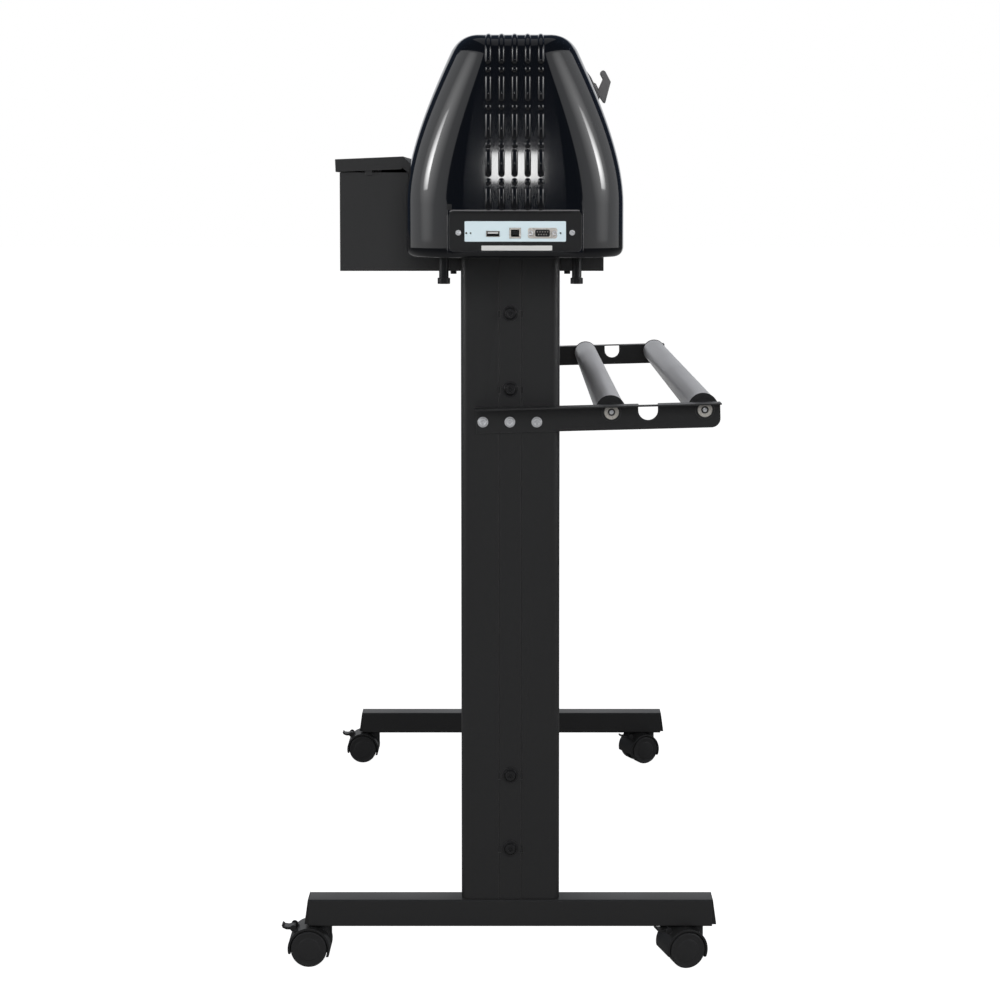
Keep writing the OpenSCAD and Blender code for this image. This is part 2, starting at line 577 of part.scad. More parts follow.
// Power inlet with its three blades and the rocker's frame, drawn on the right and mirrored to the left end
module power_inlet() mirror([1, 0, 0]) {
  color(c_black) difference() {
    box3([cap_x1 - 22, cap_x1 - 0.5], [inlet_y - 13.5, inlet_y + 13.5], [inlet_z - 9.7, inlet_z + 9.7]);
    box3([cap_x1 - 18, cap_x1 + 1], [inlet_y - 12, inlet_y + 12], [inlet_z - 8.2, inlet_z + 8.2]);
  }
  color(c_black) difference() {
    box3([cap_x1 - 15, cap_x1 - 0.5], [rocker_y - 11, rocker_y + 11], [inlet_z - 8, inlet_z + 8]);
    box3([cap_x1 - 14, cap_x1], [rocker_y - 9.4, rocker_y + 9.4], [inlet_z - 7, inlet_z + 7]);
  }
  color(c_black) ycyl(1.2, cap_x1 - 7, [rocker_y - 9.6, rocker_y + 9.6], inlet_z);
  color(c_steel) {
    for (y = [-7, 7]) box3([cap_x1 - 18.1, cap_x1 - 4], [inlet_y + y - 1, inlet_y + y + 1],
                           [inlet_z - 4, inlet_z + 1]);
    box3([cap_x1 - 18.1, cap_x1 - 3], [inlet_y - 1, inlet_y + 1], [inlet_z + 1, inlet_z + 6]);
  }
}

module power_rocker() color(c_black) mirror([1, 0, 0]) difference() {
  translate([cap_x1 - 7, 0, inlet_z]) along_y([rocker_y - 9, rocker_y + 9]) {
    polygon([[-3, -5.2], [3, -6.1], [4.4, 0], [5.5, 5.4], [-3, 5.2]]);
  }
  ycyl(1.2 + run_fit, cap_x1 - 7, [rocker_y - 10, rocker_y + 10], inlet_z);
}

// ---------- drives ----------
carriage_motor_x = -470;
belt_z = [988, 994];
belt_y = 20;
pulley_r = 9;
module drive_motors() {
  color(c_black) {
    box3([384, plate_x], [feed_motor[0] - 28, feed_motor[0] + 28], [feed_motor[1] - 28, feed_motor[1] + 28]);
    box3([carriage_motor_x - 21, carriage_motor_x + 21], [belt_y - 21, belt_y + 21], [936, 980]);
  }
  color(c_steel) {
    xcyl(3.2, [plate_x, plate_x + 18], feed_motor[0], feed_motor[1]);
    xcyl(8, [plate_x + 6, plate_x + 16], feed_motor[0], feed_motor[1]);
    zcyl(3.2, carriage_motor_x, belt_y, [980, 996]);
    zcyl(pulley_r, carriage_motor_x, belt_y, [986.5, 995.5]);
    box3([plate_x + plate_t, 482], [belt_y - 14, belt_y + 14], [980, 982.5]);
    zcyl(3, -carriage_motor_x, belt_y, [982.5, 996]);
    zcyl(pulley_r, -carriage_motor_x, belt_y, [986.5, 995.5]);
  }
  color(c_powder) box3([-482, -plate_x - plate_t], [belt_y - 24, belt_y + 24], [980, 982.5]);
}

module belt_loop(a, ra, b, rb) difference() {
  hull() { translate(a) circle(ra + 1.4); translate(b) circle(rb + 1.4); }
  hull() { translate(a) circle(ra + 0.1); translate(b) circle(rb + 0.1); }
}
module drive_belts() color(c_black) {
  translate([0, 0, belt_z[0]]) linear_extrude(belt_z[1] - belt_z[0])
    belt_loop([carriage_motor_x, belt_y], pulley_r, [-carriage_motor_x, belt_y], pulley_r);
  along_x([plate_x + 7.5, plate_x + 14.5])
    belt_loop(feed_motor, 8, [shaft_y, shaft_z], 22.3);
}

module electronics() {
  color("#2f6b3f") box3([-300, -140], [-70, 20], [800, 801.6]);
  color(c_steel) box3([-120, 60], [-70, 18], [794, 836]);
  color(c_black) for (x = [-280, -240, -200, -165]) box3([x, x + 18], [-50, -30], [801.6, 812]);
  color(c_powder) for (x = [-295, -150], y = [-64, 12]) zcyl(3, x, y, [base_z + 3, 800]);
}

// ---------- moving parts of the machine ----------
module feed_shaft() {
  color(c_steel) {
    xcyl(5.2, [-plate_x - 4, plate_x + 16], shaft_y, shaft_z);
    for (x = [[-plate_x - 4, -plate_x + 0.3], [plate_x - 0.3, plate_x + 4]]) xcyl(6, x, shaft_y, shaft_z);
    xcyl(22, [plate_x + 6, plate_x + 16], shaft_y, shaft_z);
  }
  color("#8d8f92") for (x = pinch_x) xcyl(sleeve_r, [x - grit_len / 2, x + grit_len / 2], shaft_y, shaft_z);
}

module carriage() color(c_black) translate([carriage_x, 0, 0]) {
  difference() {
    union() {
      box3([-30, 30], [-22, rail_y0 - 0.5], [918, 978]);
      box3([-12, 12], [-14, rail_y0 - 0.5], [977, 996]);
      box3([-12, 12], [-10, 9.4], [986, 996]);
    }
    box3([-31, 31], [rail_y0 - 6 - clear, rail_y0 + 1], [950 - clear, 962 + clear]);
    box3([-10, 10], [-23, -18], [919, 964]);
  }
  box3([-2, 2], [-10, 9.4], [995.5, 998]);
}

// Sliding block with the clamp bore that takes the blade holder
tool_bore_r = 5.75;
module tool_holder() color(c_grey) translate([carriage_x, 0, 0]) difference() {
  union() {
    box3([-9.6, 9.6], [-27, -18.4], [928, 960]);
    box3([-13, 13], [tool_y - 9, -22.4], [930, 958]);
    zcyl(10, 0, tool_y, [928, 958]);
    ycyl(4, 0, [tool_y - 20, tool_y - 7], 948);
  }
  zcyl(tool_bore_r, 0, tool_y, [920, 970]);
}

// ---------- pinch units ----------
module pinch_block(i) color(c_grey) translate([pinch_x[i], 0, 0]) {
  difference() {
    union() {
      box3([-16, 16], [rail_y1 + 0.2, 60], [rail_z0 + 1.5, rail_z1 + 1]);
      box3([-16, 16], [rail_y1 + 0.2, rail_y1 + 1.3], [rail_z0 - 3, rail_z0 + 2]);
      box3([-16, 16], [rail_y1 - 8, rail_y1 + 1], [rail_z1 + 0.2, rail_z1 + 3]);
      box3([-16, 16], [rail_y1 - 8, rail_y1 + 1], [rail_z0 - 3, rail_z0 - 0.2]);
      for (x = [[-13.5, -10.5], [10.5, 13.5]]) {
        along_x(x) {
          translate(lever_pivot) circle(5.5);
          translate([52, 974]) square([14, 18]);
          translate(arm_pivot) circle(5);
          translate([49.2, 924]) square([9.8, 9]);
        }
      }
      xcyl(2.5, [-12, 12], lever_pivot[0], lever_pivot[1]);
      xcyl(2, [-12, 12], arm_pivot[0], arm_pivot[1]);
    }
    box3([-10.5, 10.5], [57.5, 61], [970, 990]);
  }
}

// Fork at the front for the rubber roller, and a short tail behind the pivot
module pinch_arm(i) color(c_steel) translate([pinch_x[i], 0, 0]) difference() {
  union() {
    along_x([-9.8, 9.8]) {
      translate(arm_pivot) circle(4.4);
      translate([34, 917]) square([20, 6]);
      polygon([[52, 927.5], [58.2, 924.5], [66, 931], [66, 950], [63.5, 950], [63.5, 932.5], [59, 928.6]]);
    }
    for (x = [[-9.8, -6.8], [6.8, 9.8]]) along_x(x) {
      translate([shaft_y, 905.8]) circle(4);
      polygon([[shaft_y - 3.5, 907.6], [shaft_y + 2, 902.4], [44, 917.5], [40, 923], [28, 920]]);
    }
  }
  xcyl(2 + run_fit, [-12, 12], arm_pivot[0], arm_pivot[1]);
  xcyl(1.5 + run_fit, [-12, 12], shaft_y, pinch_z);
}

module pinch_roller(i) translate([pinch_x[i], 0, 0]) {
  color(c_black) xcyl(pinch_r, [-6.2, 6.2], shaft_y, pinch_z);
  color(c_steel) xcyl(1.5, [-9.8, 9.8], shaft_y, pinch_z);
}

// Release lever: a bent strip that ends in a cheeked finger grip
leaf = [[66, 995], [78, 1000], [86, 996.6], [91.6, 989], [97, 978], [102, 969.6], [108.2, 960.4]];
function unit(v) = v / norm(v);
function side_of(p, i, t) = let (d = unit(p[min(i + 1, len(p) - 1)] - p[max(i - 1, 0)])) p[i] + t * [-d[1], d[0]];
module strip(p, t) polygon(concat([for (i = [0:len(p) - 1]) side_of(p, i, t / 2)],
                                  [for (i = [len(p) - 1:-1:0]) side_of(p, i, -t / 2)]));
module pinch_lever(i) color(c_grey) translate([pinch_x[i], 0, 0]) difference() {
  union() {
    along_x([-10.2, 10.2]) {
      translate(lever_pivot) circle(4.6);
      strip(leaf, 1.8);
    }
    for (x = [[-10.2, -7.6], [7.6, 10.2]]) along_x(x) {
      polygon([[101.8, 976.8], [106.4, 987.4], [103.7, 992.6], [109, 995.6], [115.3, 983.6], [108.9, 959.4],
               [101.4, 970]]);
      translate([106.4, 993.9]) circle(2.9);
    }
    xcyl(2.6, [-9, 9], 106.4, 993.9);
    xcyl(2, [-9, 9], 109.6, 986.4);
  }
  xcyl(2.5 + run_fit, [-12, 12], lever_pivot[0], lever_pivot[1]);
}

// ---------- the assembly ----------
placed() foot(1);  // foot_right
placed() foot(-1);  // foot_left
placed() foot_end_plugs();
placed() caster_stems();
placed() column(1);  // column_right
placed() column(-1);  // column_left
placed() crossbeams();
placed() frame_bolts();
placed() roll_bracket(1);  // roll_bracket_right
placed() roll_bracket(-1);  // roll_bracket_left
placed() bracket_screws();
placed() roller_bearings();
placed() front_roller();
placed() rear_roller();
for (id = ["fr", "rr", "fl", "rl"]) {
  placed() caster_housing(id);
  placed() caster_wheels(id);
  placed() caster_brake(id);
}
placed() chassis();
placed() end_plates();
placed() platen();
placed() cutting_strip();
placed() rear_apron();
placed() front_table();
placed() table_lid();
placed() carriage_rail();
placed() top_cover();
placed() right_end_cap();
placed() left_end_cap();
placed() io_plate();
placed() io_ports();
placed() power_inlet();
placed() power_rocker();
placed() control_panel();
placed() drive_motors();
placed() drive_belts();
placed() electronics();
placed() feed_shaft();
placed() carriage();
placed() tool_holder();
for (i = [0:2]) {
  placed() pinch_block(i);
  placed() pinch_arm(i);
  placed() pinch_roller(i);
  placed() pinch_lever(i);
}
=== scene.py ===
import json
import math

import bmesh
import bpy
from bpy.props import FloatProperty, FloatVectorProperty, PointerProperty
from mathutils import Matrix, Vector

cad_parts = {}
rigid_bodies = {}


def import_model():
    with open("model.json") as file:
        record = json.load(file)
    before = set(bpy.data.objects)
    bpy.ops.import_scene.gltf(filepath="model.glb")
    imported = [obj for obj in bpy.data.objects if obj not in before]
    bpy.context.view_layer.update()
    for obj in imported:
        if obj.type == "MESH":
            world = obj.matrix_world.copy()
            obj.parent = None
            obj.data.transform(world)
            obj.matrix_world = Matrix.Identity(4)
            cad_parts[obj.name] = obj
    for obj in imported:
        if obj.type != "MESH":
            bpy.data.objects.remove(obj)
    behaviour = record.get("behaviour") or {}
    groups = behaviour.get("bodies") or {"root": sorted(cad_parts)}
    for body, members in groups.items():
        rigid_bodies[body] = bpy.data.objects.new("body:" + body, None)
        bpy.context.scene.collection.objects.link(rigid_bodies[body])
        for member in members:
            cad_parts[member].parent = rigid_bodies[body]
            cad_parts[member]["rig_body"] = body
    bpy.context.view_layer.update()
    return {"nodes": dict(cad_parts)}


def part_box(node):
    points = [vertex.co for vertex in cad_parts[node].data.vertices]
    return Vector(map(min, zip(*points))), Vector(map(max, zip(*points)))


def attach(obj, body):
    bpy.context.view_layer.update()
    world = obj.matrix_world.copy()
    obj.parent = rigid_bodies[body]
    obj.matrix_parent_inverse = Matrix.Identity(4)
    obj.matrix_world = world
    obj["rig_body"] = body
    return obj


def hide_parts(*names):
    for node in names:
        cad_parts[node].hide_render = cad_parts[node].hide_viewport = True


bl_info = {
    "name": "Vinyl cutter",
    "version": (1, 0, 0),
    "blender": (4, 5, 0),
    "location": "View3D > Sidebar > Cutter",
    "description": "Shells, fittings, finishes and a studio for a vinyl cutter on a castered stand",
    "category": "Add Mesh",
}

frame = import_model()

# Shapes are worked out in millimetres and become metres when they are made objects
MM = 0.001
SIDES = {"right": 1, "left": -1}
CORNERS = ("fr", "rr", "fl", "rl")
PINCH_UNITS = ("r", "m", "l")


def corners_of(node):
    """The lowest and highest corner of a CAD node, in millimetres."""
    low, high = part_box(node)
    return low / MM, high / MM


def middle_of(node):
    low, high = corners_of(node)
    return (low + high) / 2


STAND_Y = middle_of("column_right").y
CAP_LOW, CAP_HIGH = corners_of("right_end_cap")
CAP_Y = (CAP_LOW.y + CAP_HIGH.y) / 2
TUBE_END = 436.0
# The camera's place, in metres
EYE = Vector((2.899, 0.01715, 0.861))


# ---------- sizes and colours ----------
def length(name, description, default):
    return FloatProperty(name=name, description=description, default=default * MM, unit="LENGTH")


def colour(name, description, default):
    return FloatVectorProperty(
        name=name, description=description, default=default, subtype="COLOR", size=4, min=0.0, max=1.0
    )


class CutterSizes(bpy.types.PropertyGroup):
    """Sizes of the details that the CAD model leaves plain"""

    rib_pitch: length("Rib pitch", "Distance between the ribs of an end cap", 13.7)
    rib_radius: length("Rib radius", "Radius of a rib and of the studs between its lengths", 3.7)
    rib_height: length("Rib height", "How far a rib stands out of the cap's face", 2.4)
    crown_rib_height: length("Crown rib height", "How far a rib stands out of the cap's top", 1.2)
    stud_pitch: length("Stud pitch", "Distance between the studs along a rib", 38.9)
    stud_gap: length("Stud gap", "From a stud's middle to the end of the next rib length", 6.1)
    cap_wall: length("Cap wall", "Wall of the moulded end caps", 2.5)
    sheet_edge: length("Sheet edge", "Rounding of folded and cut metal edges", 0.4)
    moulded_edge: length("Moulded edge", "Rounding of moulded edges", 0.8)


class CutterColours(bpy.types.PropertyGroup):
    """Base colours of the finishes"""

    powder: colour("Powder coat", "Stand, brackets and base", (0.0215, 0.0215, 0.0218, 1.0))
    table: colour("Table", "Front table and its lid", (0.036, 0.036, 0.0365, 1.0))
    gloss: colour("Gloss plastic", "End caps and hood", (0.0034, 0.0038, 0.0050, 1.0))
    plastic: colour("Matt plastic", "Casters, plugs and carriage", (0.0165, 0.0165, 0.0168, 1.0))
    roller: colour("Roller", "Painted roll supports", (0.62, 0.62, 0.64, 1.0))
    zinc: colour("Zinc", "Plated screws", (0.80, 0.81, 0.83, 1.0))
    aluminium: colour("Aluminium", "Rail and platen", (0.62, 0.63, 0.65, 1.0))
    ice: colour("Port plate", "Plate round the data ports", (0.78, 0.92, 0.97, 1.0))
    lever: colour("Lever", "Pinch release levers", (0.15, 0.147, 0.149, 1.0))


def sizes():
    return bpy.context.scene.cutter_sizes


def colours():
    return bpy.context.scene.cutter_colours


# ---------- node helpers ----------
def put(tree, kind, inputs=None, **settings):
    """Adds a node to a tree. Inputs that are sockets are linked, and other inputs are set."""
    node = tree.nodes.new(kind)
    for name, value in settings.items():
        setattr(node, name, value)
    for key, value in (inputs or {}).items():
        if isinstance(value, bpy.types.NodeSocket):
            tree.links.new(value, node.inputs[key])
        else:
            node.inputs[key].default_value = value
    return node


def math_of(tree, operation, first, second=0.0, clamp=False):
    return put(tree, "ShaderNodeMath", {0: first, 1: second}, operation=operation, use_clamp=clamp).outputs[0]


def noise_of(tree, vector, scale, detail=3.0, roughness=0.5):
    inputs = {"Vector": vector, "Scale": scale, "Detail": detail, "Roughness": roughness}
    return put(tree, "ShaderNodeTexNoise", inputs).outputs["Fac"]


def between(tree, amount, low, high):
    """Maps an amount from 0 to 1 onto the range from low to high."""
    inputs = {"Value": amount, "To Min": low, "To Max": high}
    return put(tree, "ShaderNodeMapRange", inputs, clamp=True).outputs["Result"]


def blend_colours(tree, amount, first, second):
    # A colour mix has its factor at socket 0, its colours at 6 and 7, and its result at output 2
    return put(tree, "ShaderNodeMix", {0: amount, 6: first, 7: second}, data_type="RGBA").outputs[2]


def shader_group(name, inputs, outputs, build):
    """A node group with named sockets, built once. build gives back a socket for each output."""
    group = bpy.data.node_groups.get(name)
    if group:
        return group
    group = bpy.data.node_groups.new(name, "ShaderNodeTree")
    for label, value in inputs.items():
        socket = group.interface.new_socket(label, in_out="INPUT", socket_type="NodeSocketFloat")
        socket.default_value = value
    for label in outputs:
        group.interface.new_socket(label, in_out="OUTPUT", socket_type="NodeSocketFloat")
    source = group.nodes.new("NodeGroupInput")
    target = group.nodes.new("NodeGroupOutput")
    for label, socket in zip(outputs, build(group, source.outputs)):
        group.links.new(socket, target.inputs[label])
    return group


def effect(tree, group, **values):
    """Places an effect in a material with its own values and gives its outputs."""
    node = tree.nodes.new("ShaderNodeGroup")
    node.node_tree = group
    for label, value in values.items():
        node.inputs[label.replace("_", " ")].default_value = value
    return node.outputs


def object_place(tree):
    return tree.nodes.new("ShaderNodeTexCoord").outputs["Object"]


# ---------- effects that several finishes share ----------
def build_grain(tree, given):
    place = object_place(tree)
    fine = noise_of(tree, place, given["Scale"], 4.0, 0.6)
    cloud = noise_of(tree, place, given["Cloud Scale"], 2.0)
    return fine, cloud


def fine_grain():
    return shader_group("Fine Grain", {"Scale": 900.0, "Cloud Scale": 9.0}, ("Height", "Cloud"), build_grain)


def build_wear(tree, given):
    place = object_place(tree)
    rounded = put(tree, "ShaderNodeBevel", {"Radius": given["Radius"]}, samples=4).outputs["Normal"]
    surface = tree.nodes.new("ShaderNodeNewGeometry").outputs["Normal"]
    across = put(tree, "ShaderNodeVectorMath", {0: rounded, 1: surface}, operation="DOT_PRODUCT")
    along = across.outputs["Value"]
    edge = math_of(tree, "SUBTRACT", 1.0, along, clamp=True)
    patchy = between(tree, noise_of(tree, place, 60.0, 4.0, 0.7), 2.0, 12.0)
    return (math_of(tree, "MULTIPLY", edge, patchy, clamp=True),)


def edge_wear():
    return shader_group("Edge Wear", {"Radius": 0.0006}, ("Mask",), build_wear)


def build_dust(tree, given):
    normal = tree.nodes.new("ShaderNodeNewGeometry").outputs["Normal"]
    upward = put(tree, "ShaderNodeSeparateXYZ", {"Vector": normal}).outputs["Z"]
    ramp = put(tree, "ShaderNodeMapRange", {"Value": upward, "From Min": 0.55}, clamp=True)
    facing = ramp.outputs["Result"]
    specks = noise_of(tree, object_place(tree), 240.0, 6.0, 0.7)
    lying = between(tree, specks, 0.35, 1.0)
    return (math_of(tree, "MULTIPLY", math_of(tree, "MULTIPLY", facing, lying), given["Amount"]),)


def settled_dust():
    return shader_group("Settled Dust", {"Amount": 0.3}, ("Mask",), build_dust)


def build_streaks(tree, given):
    stretched = put(tree, "ShaderNodeMapping", {"Vector": object_place(tree), "Scale": (1.2, 60.0, 60.0)})
    fine = noise_of(tree, stretched.outputs["Vector"], given["Scale"], 5.0, 0.65)
    broad = noise_of(tree, stretched.outputs["Vector"], 1.5, 2.0)
    return fine, broad


def drawn_streaks():
    return shader_group("Drawn Streaks", {"Scale": 28.0}, ("Height", "Shade"), build_streaks)


def build_smudges(tree, given):
    place = object_place(tree)
    wiped = noise_of(tree, place, given["Scale"], 5.0, 0.75)
    return (between(tree, wiped, given["Low"], given["High"]),)


def smudges():
    group_inputs = {"Scale": 14.0, "Low": 0.05, "High": 0.15}
    return shader_group("Smudges", group_inputs, ("Roughness",), build_smudges)


# ---------- finishes ----------
class Finish:
    """A material being built: its tree, and the shader that holds what is the same all over."""

    def __init__(self, name, **fixed):
        self.material = bpy.data.materials.new(name + "_finish")
        self.material.use_nodes = True
        self.tree = self.material.node_tree
        self.shader = self.tree.nodes["Principled BSDF"]
        for label, value in fixed.items():
            self.shader.inputs[label.replace("_", " ")].default_value = value

    def link(self, label, socket):
        self.tree.links.new(socket, self.shader.inputs[label])

    def relief(self, height, depth, strength=1.0):
        inputs = {"Height": height, "Distance": depth * MM, "Strength": strength}
        self.link("Normal", put(self.tree, "ShaderNodeBump", inputs).outputs["Normal"])

    def worn_colour(self, base, lighter, dust=0.25, radius=0.6):
        """The base colour, lighter along worn edges and where dust has settled."""
        wear = effect(self.tree, edge_wear(), Radius=radius * MM)["Mask"]
        lying = effect(self.tree, settled_dust(), Amount=dust)["Mask"]
        shade = blend_colours(self.tree, wear, base, lighter)
        self.link("Base Color", blend_colours(self.tree, lying, shade, (0.12, 0.12, 0.12, 1.0)))

    def grain(self, scale, depth, low, high, cloud=9.0):
        """Surface grain, with roughness that drifts between low and high."""
        outputs = effect(self.tree, fine_grain(), Scale=scale, Cloud_Scale=cloud)
        self.relief(outputs["Height"], depth)
        self.link("Roughness", between(self.tree, outputs["Cloud"], low, high))


def lighter(base, factor, lift=0.0):
    return tuple(min(1.0, channel * factor + lift) for channel in base[:3]) + (1.0,)


def powder_black():
    finish = Finish("powder_black", IOR=1.5)
    finish.worn_colour(colours().powder, lighter(colours().powder, 3.0, 0.02), dust=0.10)
    finish.grain(760.0, 0.05, 0.36, 0.50)
    return finish.material


def table_black():
    finish = Finish("table_black", IOR=1.48)
    finish.worn_colour(colours().table, lighter(colours().table, 2.2, 0.02), dust=0.12)
    finish.grain(620.0, 0.06, 0.44, 0.58)
    return finish.material


def gloss_black():
    finish = Finish(
        "gloss_black", Coat_Weight=1.0, Coat_Roughness=0.035, Coat_IOR=1.5, Specular_IOR_Level=0.1
    )
    finish.worn_colour(colours().gloss, lighter(colours().gloss, 4.0), dust=0.02, radius=0.4)
    wiped = effect(finish.tree, smudges(), Scale=16.0, Low=0.07, High=0.16)
    finish.link("Roughness", wiped["Roughness"])
    waves = effect(finish.tree, fine_grain(), Scale=28.0)
    finish.relief(waves["Height"], 0.003)
    return finish.material


def black_plastic():
    finish = Finish("black_plastic", IOR=1.47)
    finish.worn_colour(colours().plastic, lighter(colours().plastic, 2.6, 0.01), dust=0.08)
    finish.grain(1400.0, 0.03, 0.34, 0.52)
    return finish.material


def wheel_black():
    finish = Finish("wheel_black", IOR=1.5)
    finish.worn_colour(lighter(colours().plastic, 1.35), lighter(colours().plastic, 2.4, 0.01), dust=0.06)
    finish.grain(900.0, 0.04, 0.40, 0.56, cloud=40.0)
    return finish.material


def bolt_black():
    finish = Finish("bolt_black", Metallic=0.35)
    finish.worn_colour((0.022, 0.022, 0.023, 1.0), (0.22, 0.21, 0.20, 1.0), dust=0.04, radius=0.3)
    finish.grain(1600.0, 0.02, 0.30, 0.44, cloud=90.0)
    return finish.material


def zinc():
    finish = Finish("zinc", Metallic=0.4)
    finish.worn_colour(colours().zinc, (0.92, 0.92, 0.93, 1.0), dust=0.02, radius=0.3)
    finish.grain(1500.0, 0.012, 0.16, 0.30, cloud=130.0)
    return finish.material


def roller_grey():
    finish = Finish("roller_grey", Metallic=0.25, IOR=1.5)
    streaks = effect(finish.tree, drawn_streaks(), Scale=20.0)
    base = colours().roller
    shade = blend_colours(finish.tree, streaks["Shade"], lighter(base, 0.88), lighter(base, 1.1))
    finish.link("Base Color", shade)
    finish.grain(700.0, 0.03, 0.30, 0.42, cloud=12.0)
    return finish.material


def mill_aluminium():
    finish = Finish("mill_aluminium", Metallic=1.0)
    streaks = effect(finish.tree, drawn_streaks(), Scale=36.0)
    base = colours().aluminium
    shade = blend_colours(finish.tree, streaks["Shade"], lighter(base, 0.85), lighter(base, 1.08))
    finish.link("Base Color", shade)
    finish.link("Roughness", between(finish.tree, streaks["Height"], 0.26, 0.46))
    finish.relief(streaks["Height"], 0.015)
    return finish.material


def ice_plate():
    finish = Finish("ice_plate", IOR=1.45)
    finish.worn_colour(colours().ice, (0.80, 0.90, 0.94, 1.0), dust=0.02, radius=0.3)
    finish.grain(1500.0, 0.01, 0.30, 0.42, cloud=60.0)
    return finish.material


def connector_steel():
    finish = Finish("connector_steel", Metallic=0.35)
    finish.worn_colour((0.66, 0.63, 0.58, 1.0), (0.85, 0.84, 0.82, 1.0), dust=0.02, radius=0.2)
    finish.grain(2200.0, 0.008, 0.22, 0.36, cloud=150.0)
    return finish.material


def strip_white():
    finish = Finish("strip_white", IOR=1.45)
    finish.worn_colour((0.78, 0.78, 0.76, 1.0), (0.85, 0.85, 0.84, 1.0), dust=0.1, radius=0.3)
    finish.grain(1300.0, 0.02, 0.45, 0.60)
    return finish.material


def lever_grey():
    finish = Finish("lever_grey", IOR=1.47)
    finish.worn_colour(colours().lever, lighter(colours().lever, 1.8, 0.02), dust=0.1, radius=0.4)
    finish.grain(1500.0, 0.02, 0.34, 0.48, cloud=70.0)
    return finish.material


def arm_steel():
    finish = Finish("arm_steel", Metallic=0.9)
    finish.worn_colour((0.42, 0.42, 0.43, 1.0), (0.70, 0.70, 0.70, 1.0), dust=0.05, radius=0.4)
    finish.grain(1100.0, 0.02, 0.28, 0.44, cloud=50.0)
    return finish.material


def pinch_rubber():
    finish = Finish("pinch_rubber", IOR=1.5)
    finish.worn_colour((0.020, 0.020, 0.020, 1.0), (0.05, 0.05, 0.05, 1.0), dust=0.2, radius=0.4)
    finish.grain(2600.0, 0.05, 0.70, 0.85, cloud=80.0)
    return finish.material


def grit_steel():
    finish = Finish("grit_steel", Metallic=0.75)
    grit = put(finish.tree, "ShaderNodeTexVoronoi", {"Vector": object_place(finish.tree), "Scale": 1700.0})
    bright = (0.42, 0.42, 0.42, 1.0)
    dark = (0.16, 0.16, 0.16, 1.0)
    shade = blend_colours(finish.tree, grit.outputs["Distance"], bright, dark)
    finish.link("Base Color", shade)
    finish.link("Roughness", between(finish.tree, grit.outputs["Distance"], 0.55, 0.85))
    finish.relief(grit.outputs["Distance"], 0.15)
    return finish.material


def motor_black():
    finish = Finish("motor_black", IOR=1.5)
    finish.worn_colour((0.015, 0.015, 0.016, 1.0), (0.12, 0.12, 0.12, 1.0), dust=0.08)
    finish.grain(500.0, 0.05, 0.38, 0.55)
    return finish.material


def circuit_green():
    finish = Finish("circuit_green", IOR=1.5)
    pattern = {
        "Vector": object_place(finish.tree),
        "Scale": 90.0,
        "Color1": (0.010, 0.075, 0.030, 1.0),
        "Color2": (0.014, 0.10, 0.04, 1.0),
        "Mortar": (0.05, 0.22, 0.08, 1.0),
        "Mortar Size": 0.02,
    }
    tracks = put(finish.tree, "ShaderNodeTexBrick", pattern)
    finish.link("Base Color", tracks.outputs["Color"])
    finish.grain(900.0, 0.02, 0.25, 0.38)
    return finish.material


FINISHES = (
    powder_black, table_black, gloss_black, black_plastic, wheel_black, bolt_black, zinc, roller_grey,
    mill_aluminium, ice_plate, connector_steel, strip_white, lever_grey, arm_steel, pinch_rubber,
    grit_steel, motor_black, circuit_green,
)


def material_of(name):
    """The finish of that name, made when it is first asked for."""
    made = bpy.data.materials.get(name + "_finish")
    if made:
        return made
    return next(make for make in FINISHES if make.__name__ == name)()


# ---------- shape helpers ----------
def chain(shape, points, closed=True):
    """Edges from point to point, and back to the first one if closed."""
    verts = [shape.verts.new(point) for point in points]
    first = 0 if closed else 1
    return [shape.edges.new((verts[i - 1], verts[i])) for i in range(first, len(verts))]


def face_outwards(shape):
    bmesh.ops.remove_doubles(shape, verts=shape.verts, dist=1e-3)
    bmesh.ops.recalc_face_normals(shape, faces=shape.faces)


def loft(rings):
    """A closed skin through rings that have the same number of points."""
    shape = bmesh.new()
    loops = [chain(shape, ring) for ring in rings]
    for near, far in zip(loops, loops[1:]):
        bmesh.ops.bridge_loops(shape, edges=near + far)
    for end in (loops[0], loops[-1]):
        bmesh.ops.contextual_create(shape, geom=end)
    face_outwards(shape)
    return shape


def turned(profile, centre, axis="X", steps=48, closed=True):
    """A (radius, distance) profile turned about an axis through the centre."""
    shape = bmesh.new()
    edges = chain(shape, [(distance, radius, 0.0) for radius, distance in profile], closed)
    geometry = list(shape.verts) + edges
    bmesh.ops.spin(shape, geom=geometry, axis=(1, 0, 0), angle=math.tau, steps=steps, use_merge=True)
    face_outwards(shape)
    turn = {
        "X": Matrix(),
        "Y": Matrix.Rotation(math.pi / 2, 4, "Z"),
        "Z": Matrix.Rotation(-math.pi / 2, 4, "Y"),
    }
    bmesh.ops.transform(shape, matrix=Matrix.Translation(centre) @ turn[axis], verts=shape.verts)
    return shape


def block(low, high, round_along=None, radius=0.0, segments=5):
    """A box between two corners, with the edges along one axis rounded."""
    shape = bmesh.new()
    low = Vector(low)
    high = Vector(high)
    size = Matrix.Diagonal((*(high - low), 1.0))
    bmesh.ops.create_cube(shape, size=1.0, matrix=Matrix.Translation((low + high) / 2) @ size)
    if round_along:
        index = "XYZ".index(round_along)
        lines = [e for e in shape.edges if abs((e.verts[0].co - e.verts[1].co).normalized()[index]) > 0.9]
        round_edges(shape, lines, radius, segments)
    return shape


def round_edges(shape, edges, radius, segments=3):
    bmesh.ops.bevel(
        shape, geom=edges, offset=radius, affect="EDGES", segments=segments, profile=0.5, material=-1
    )


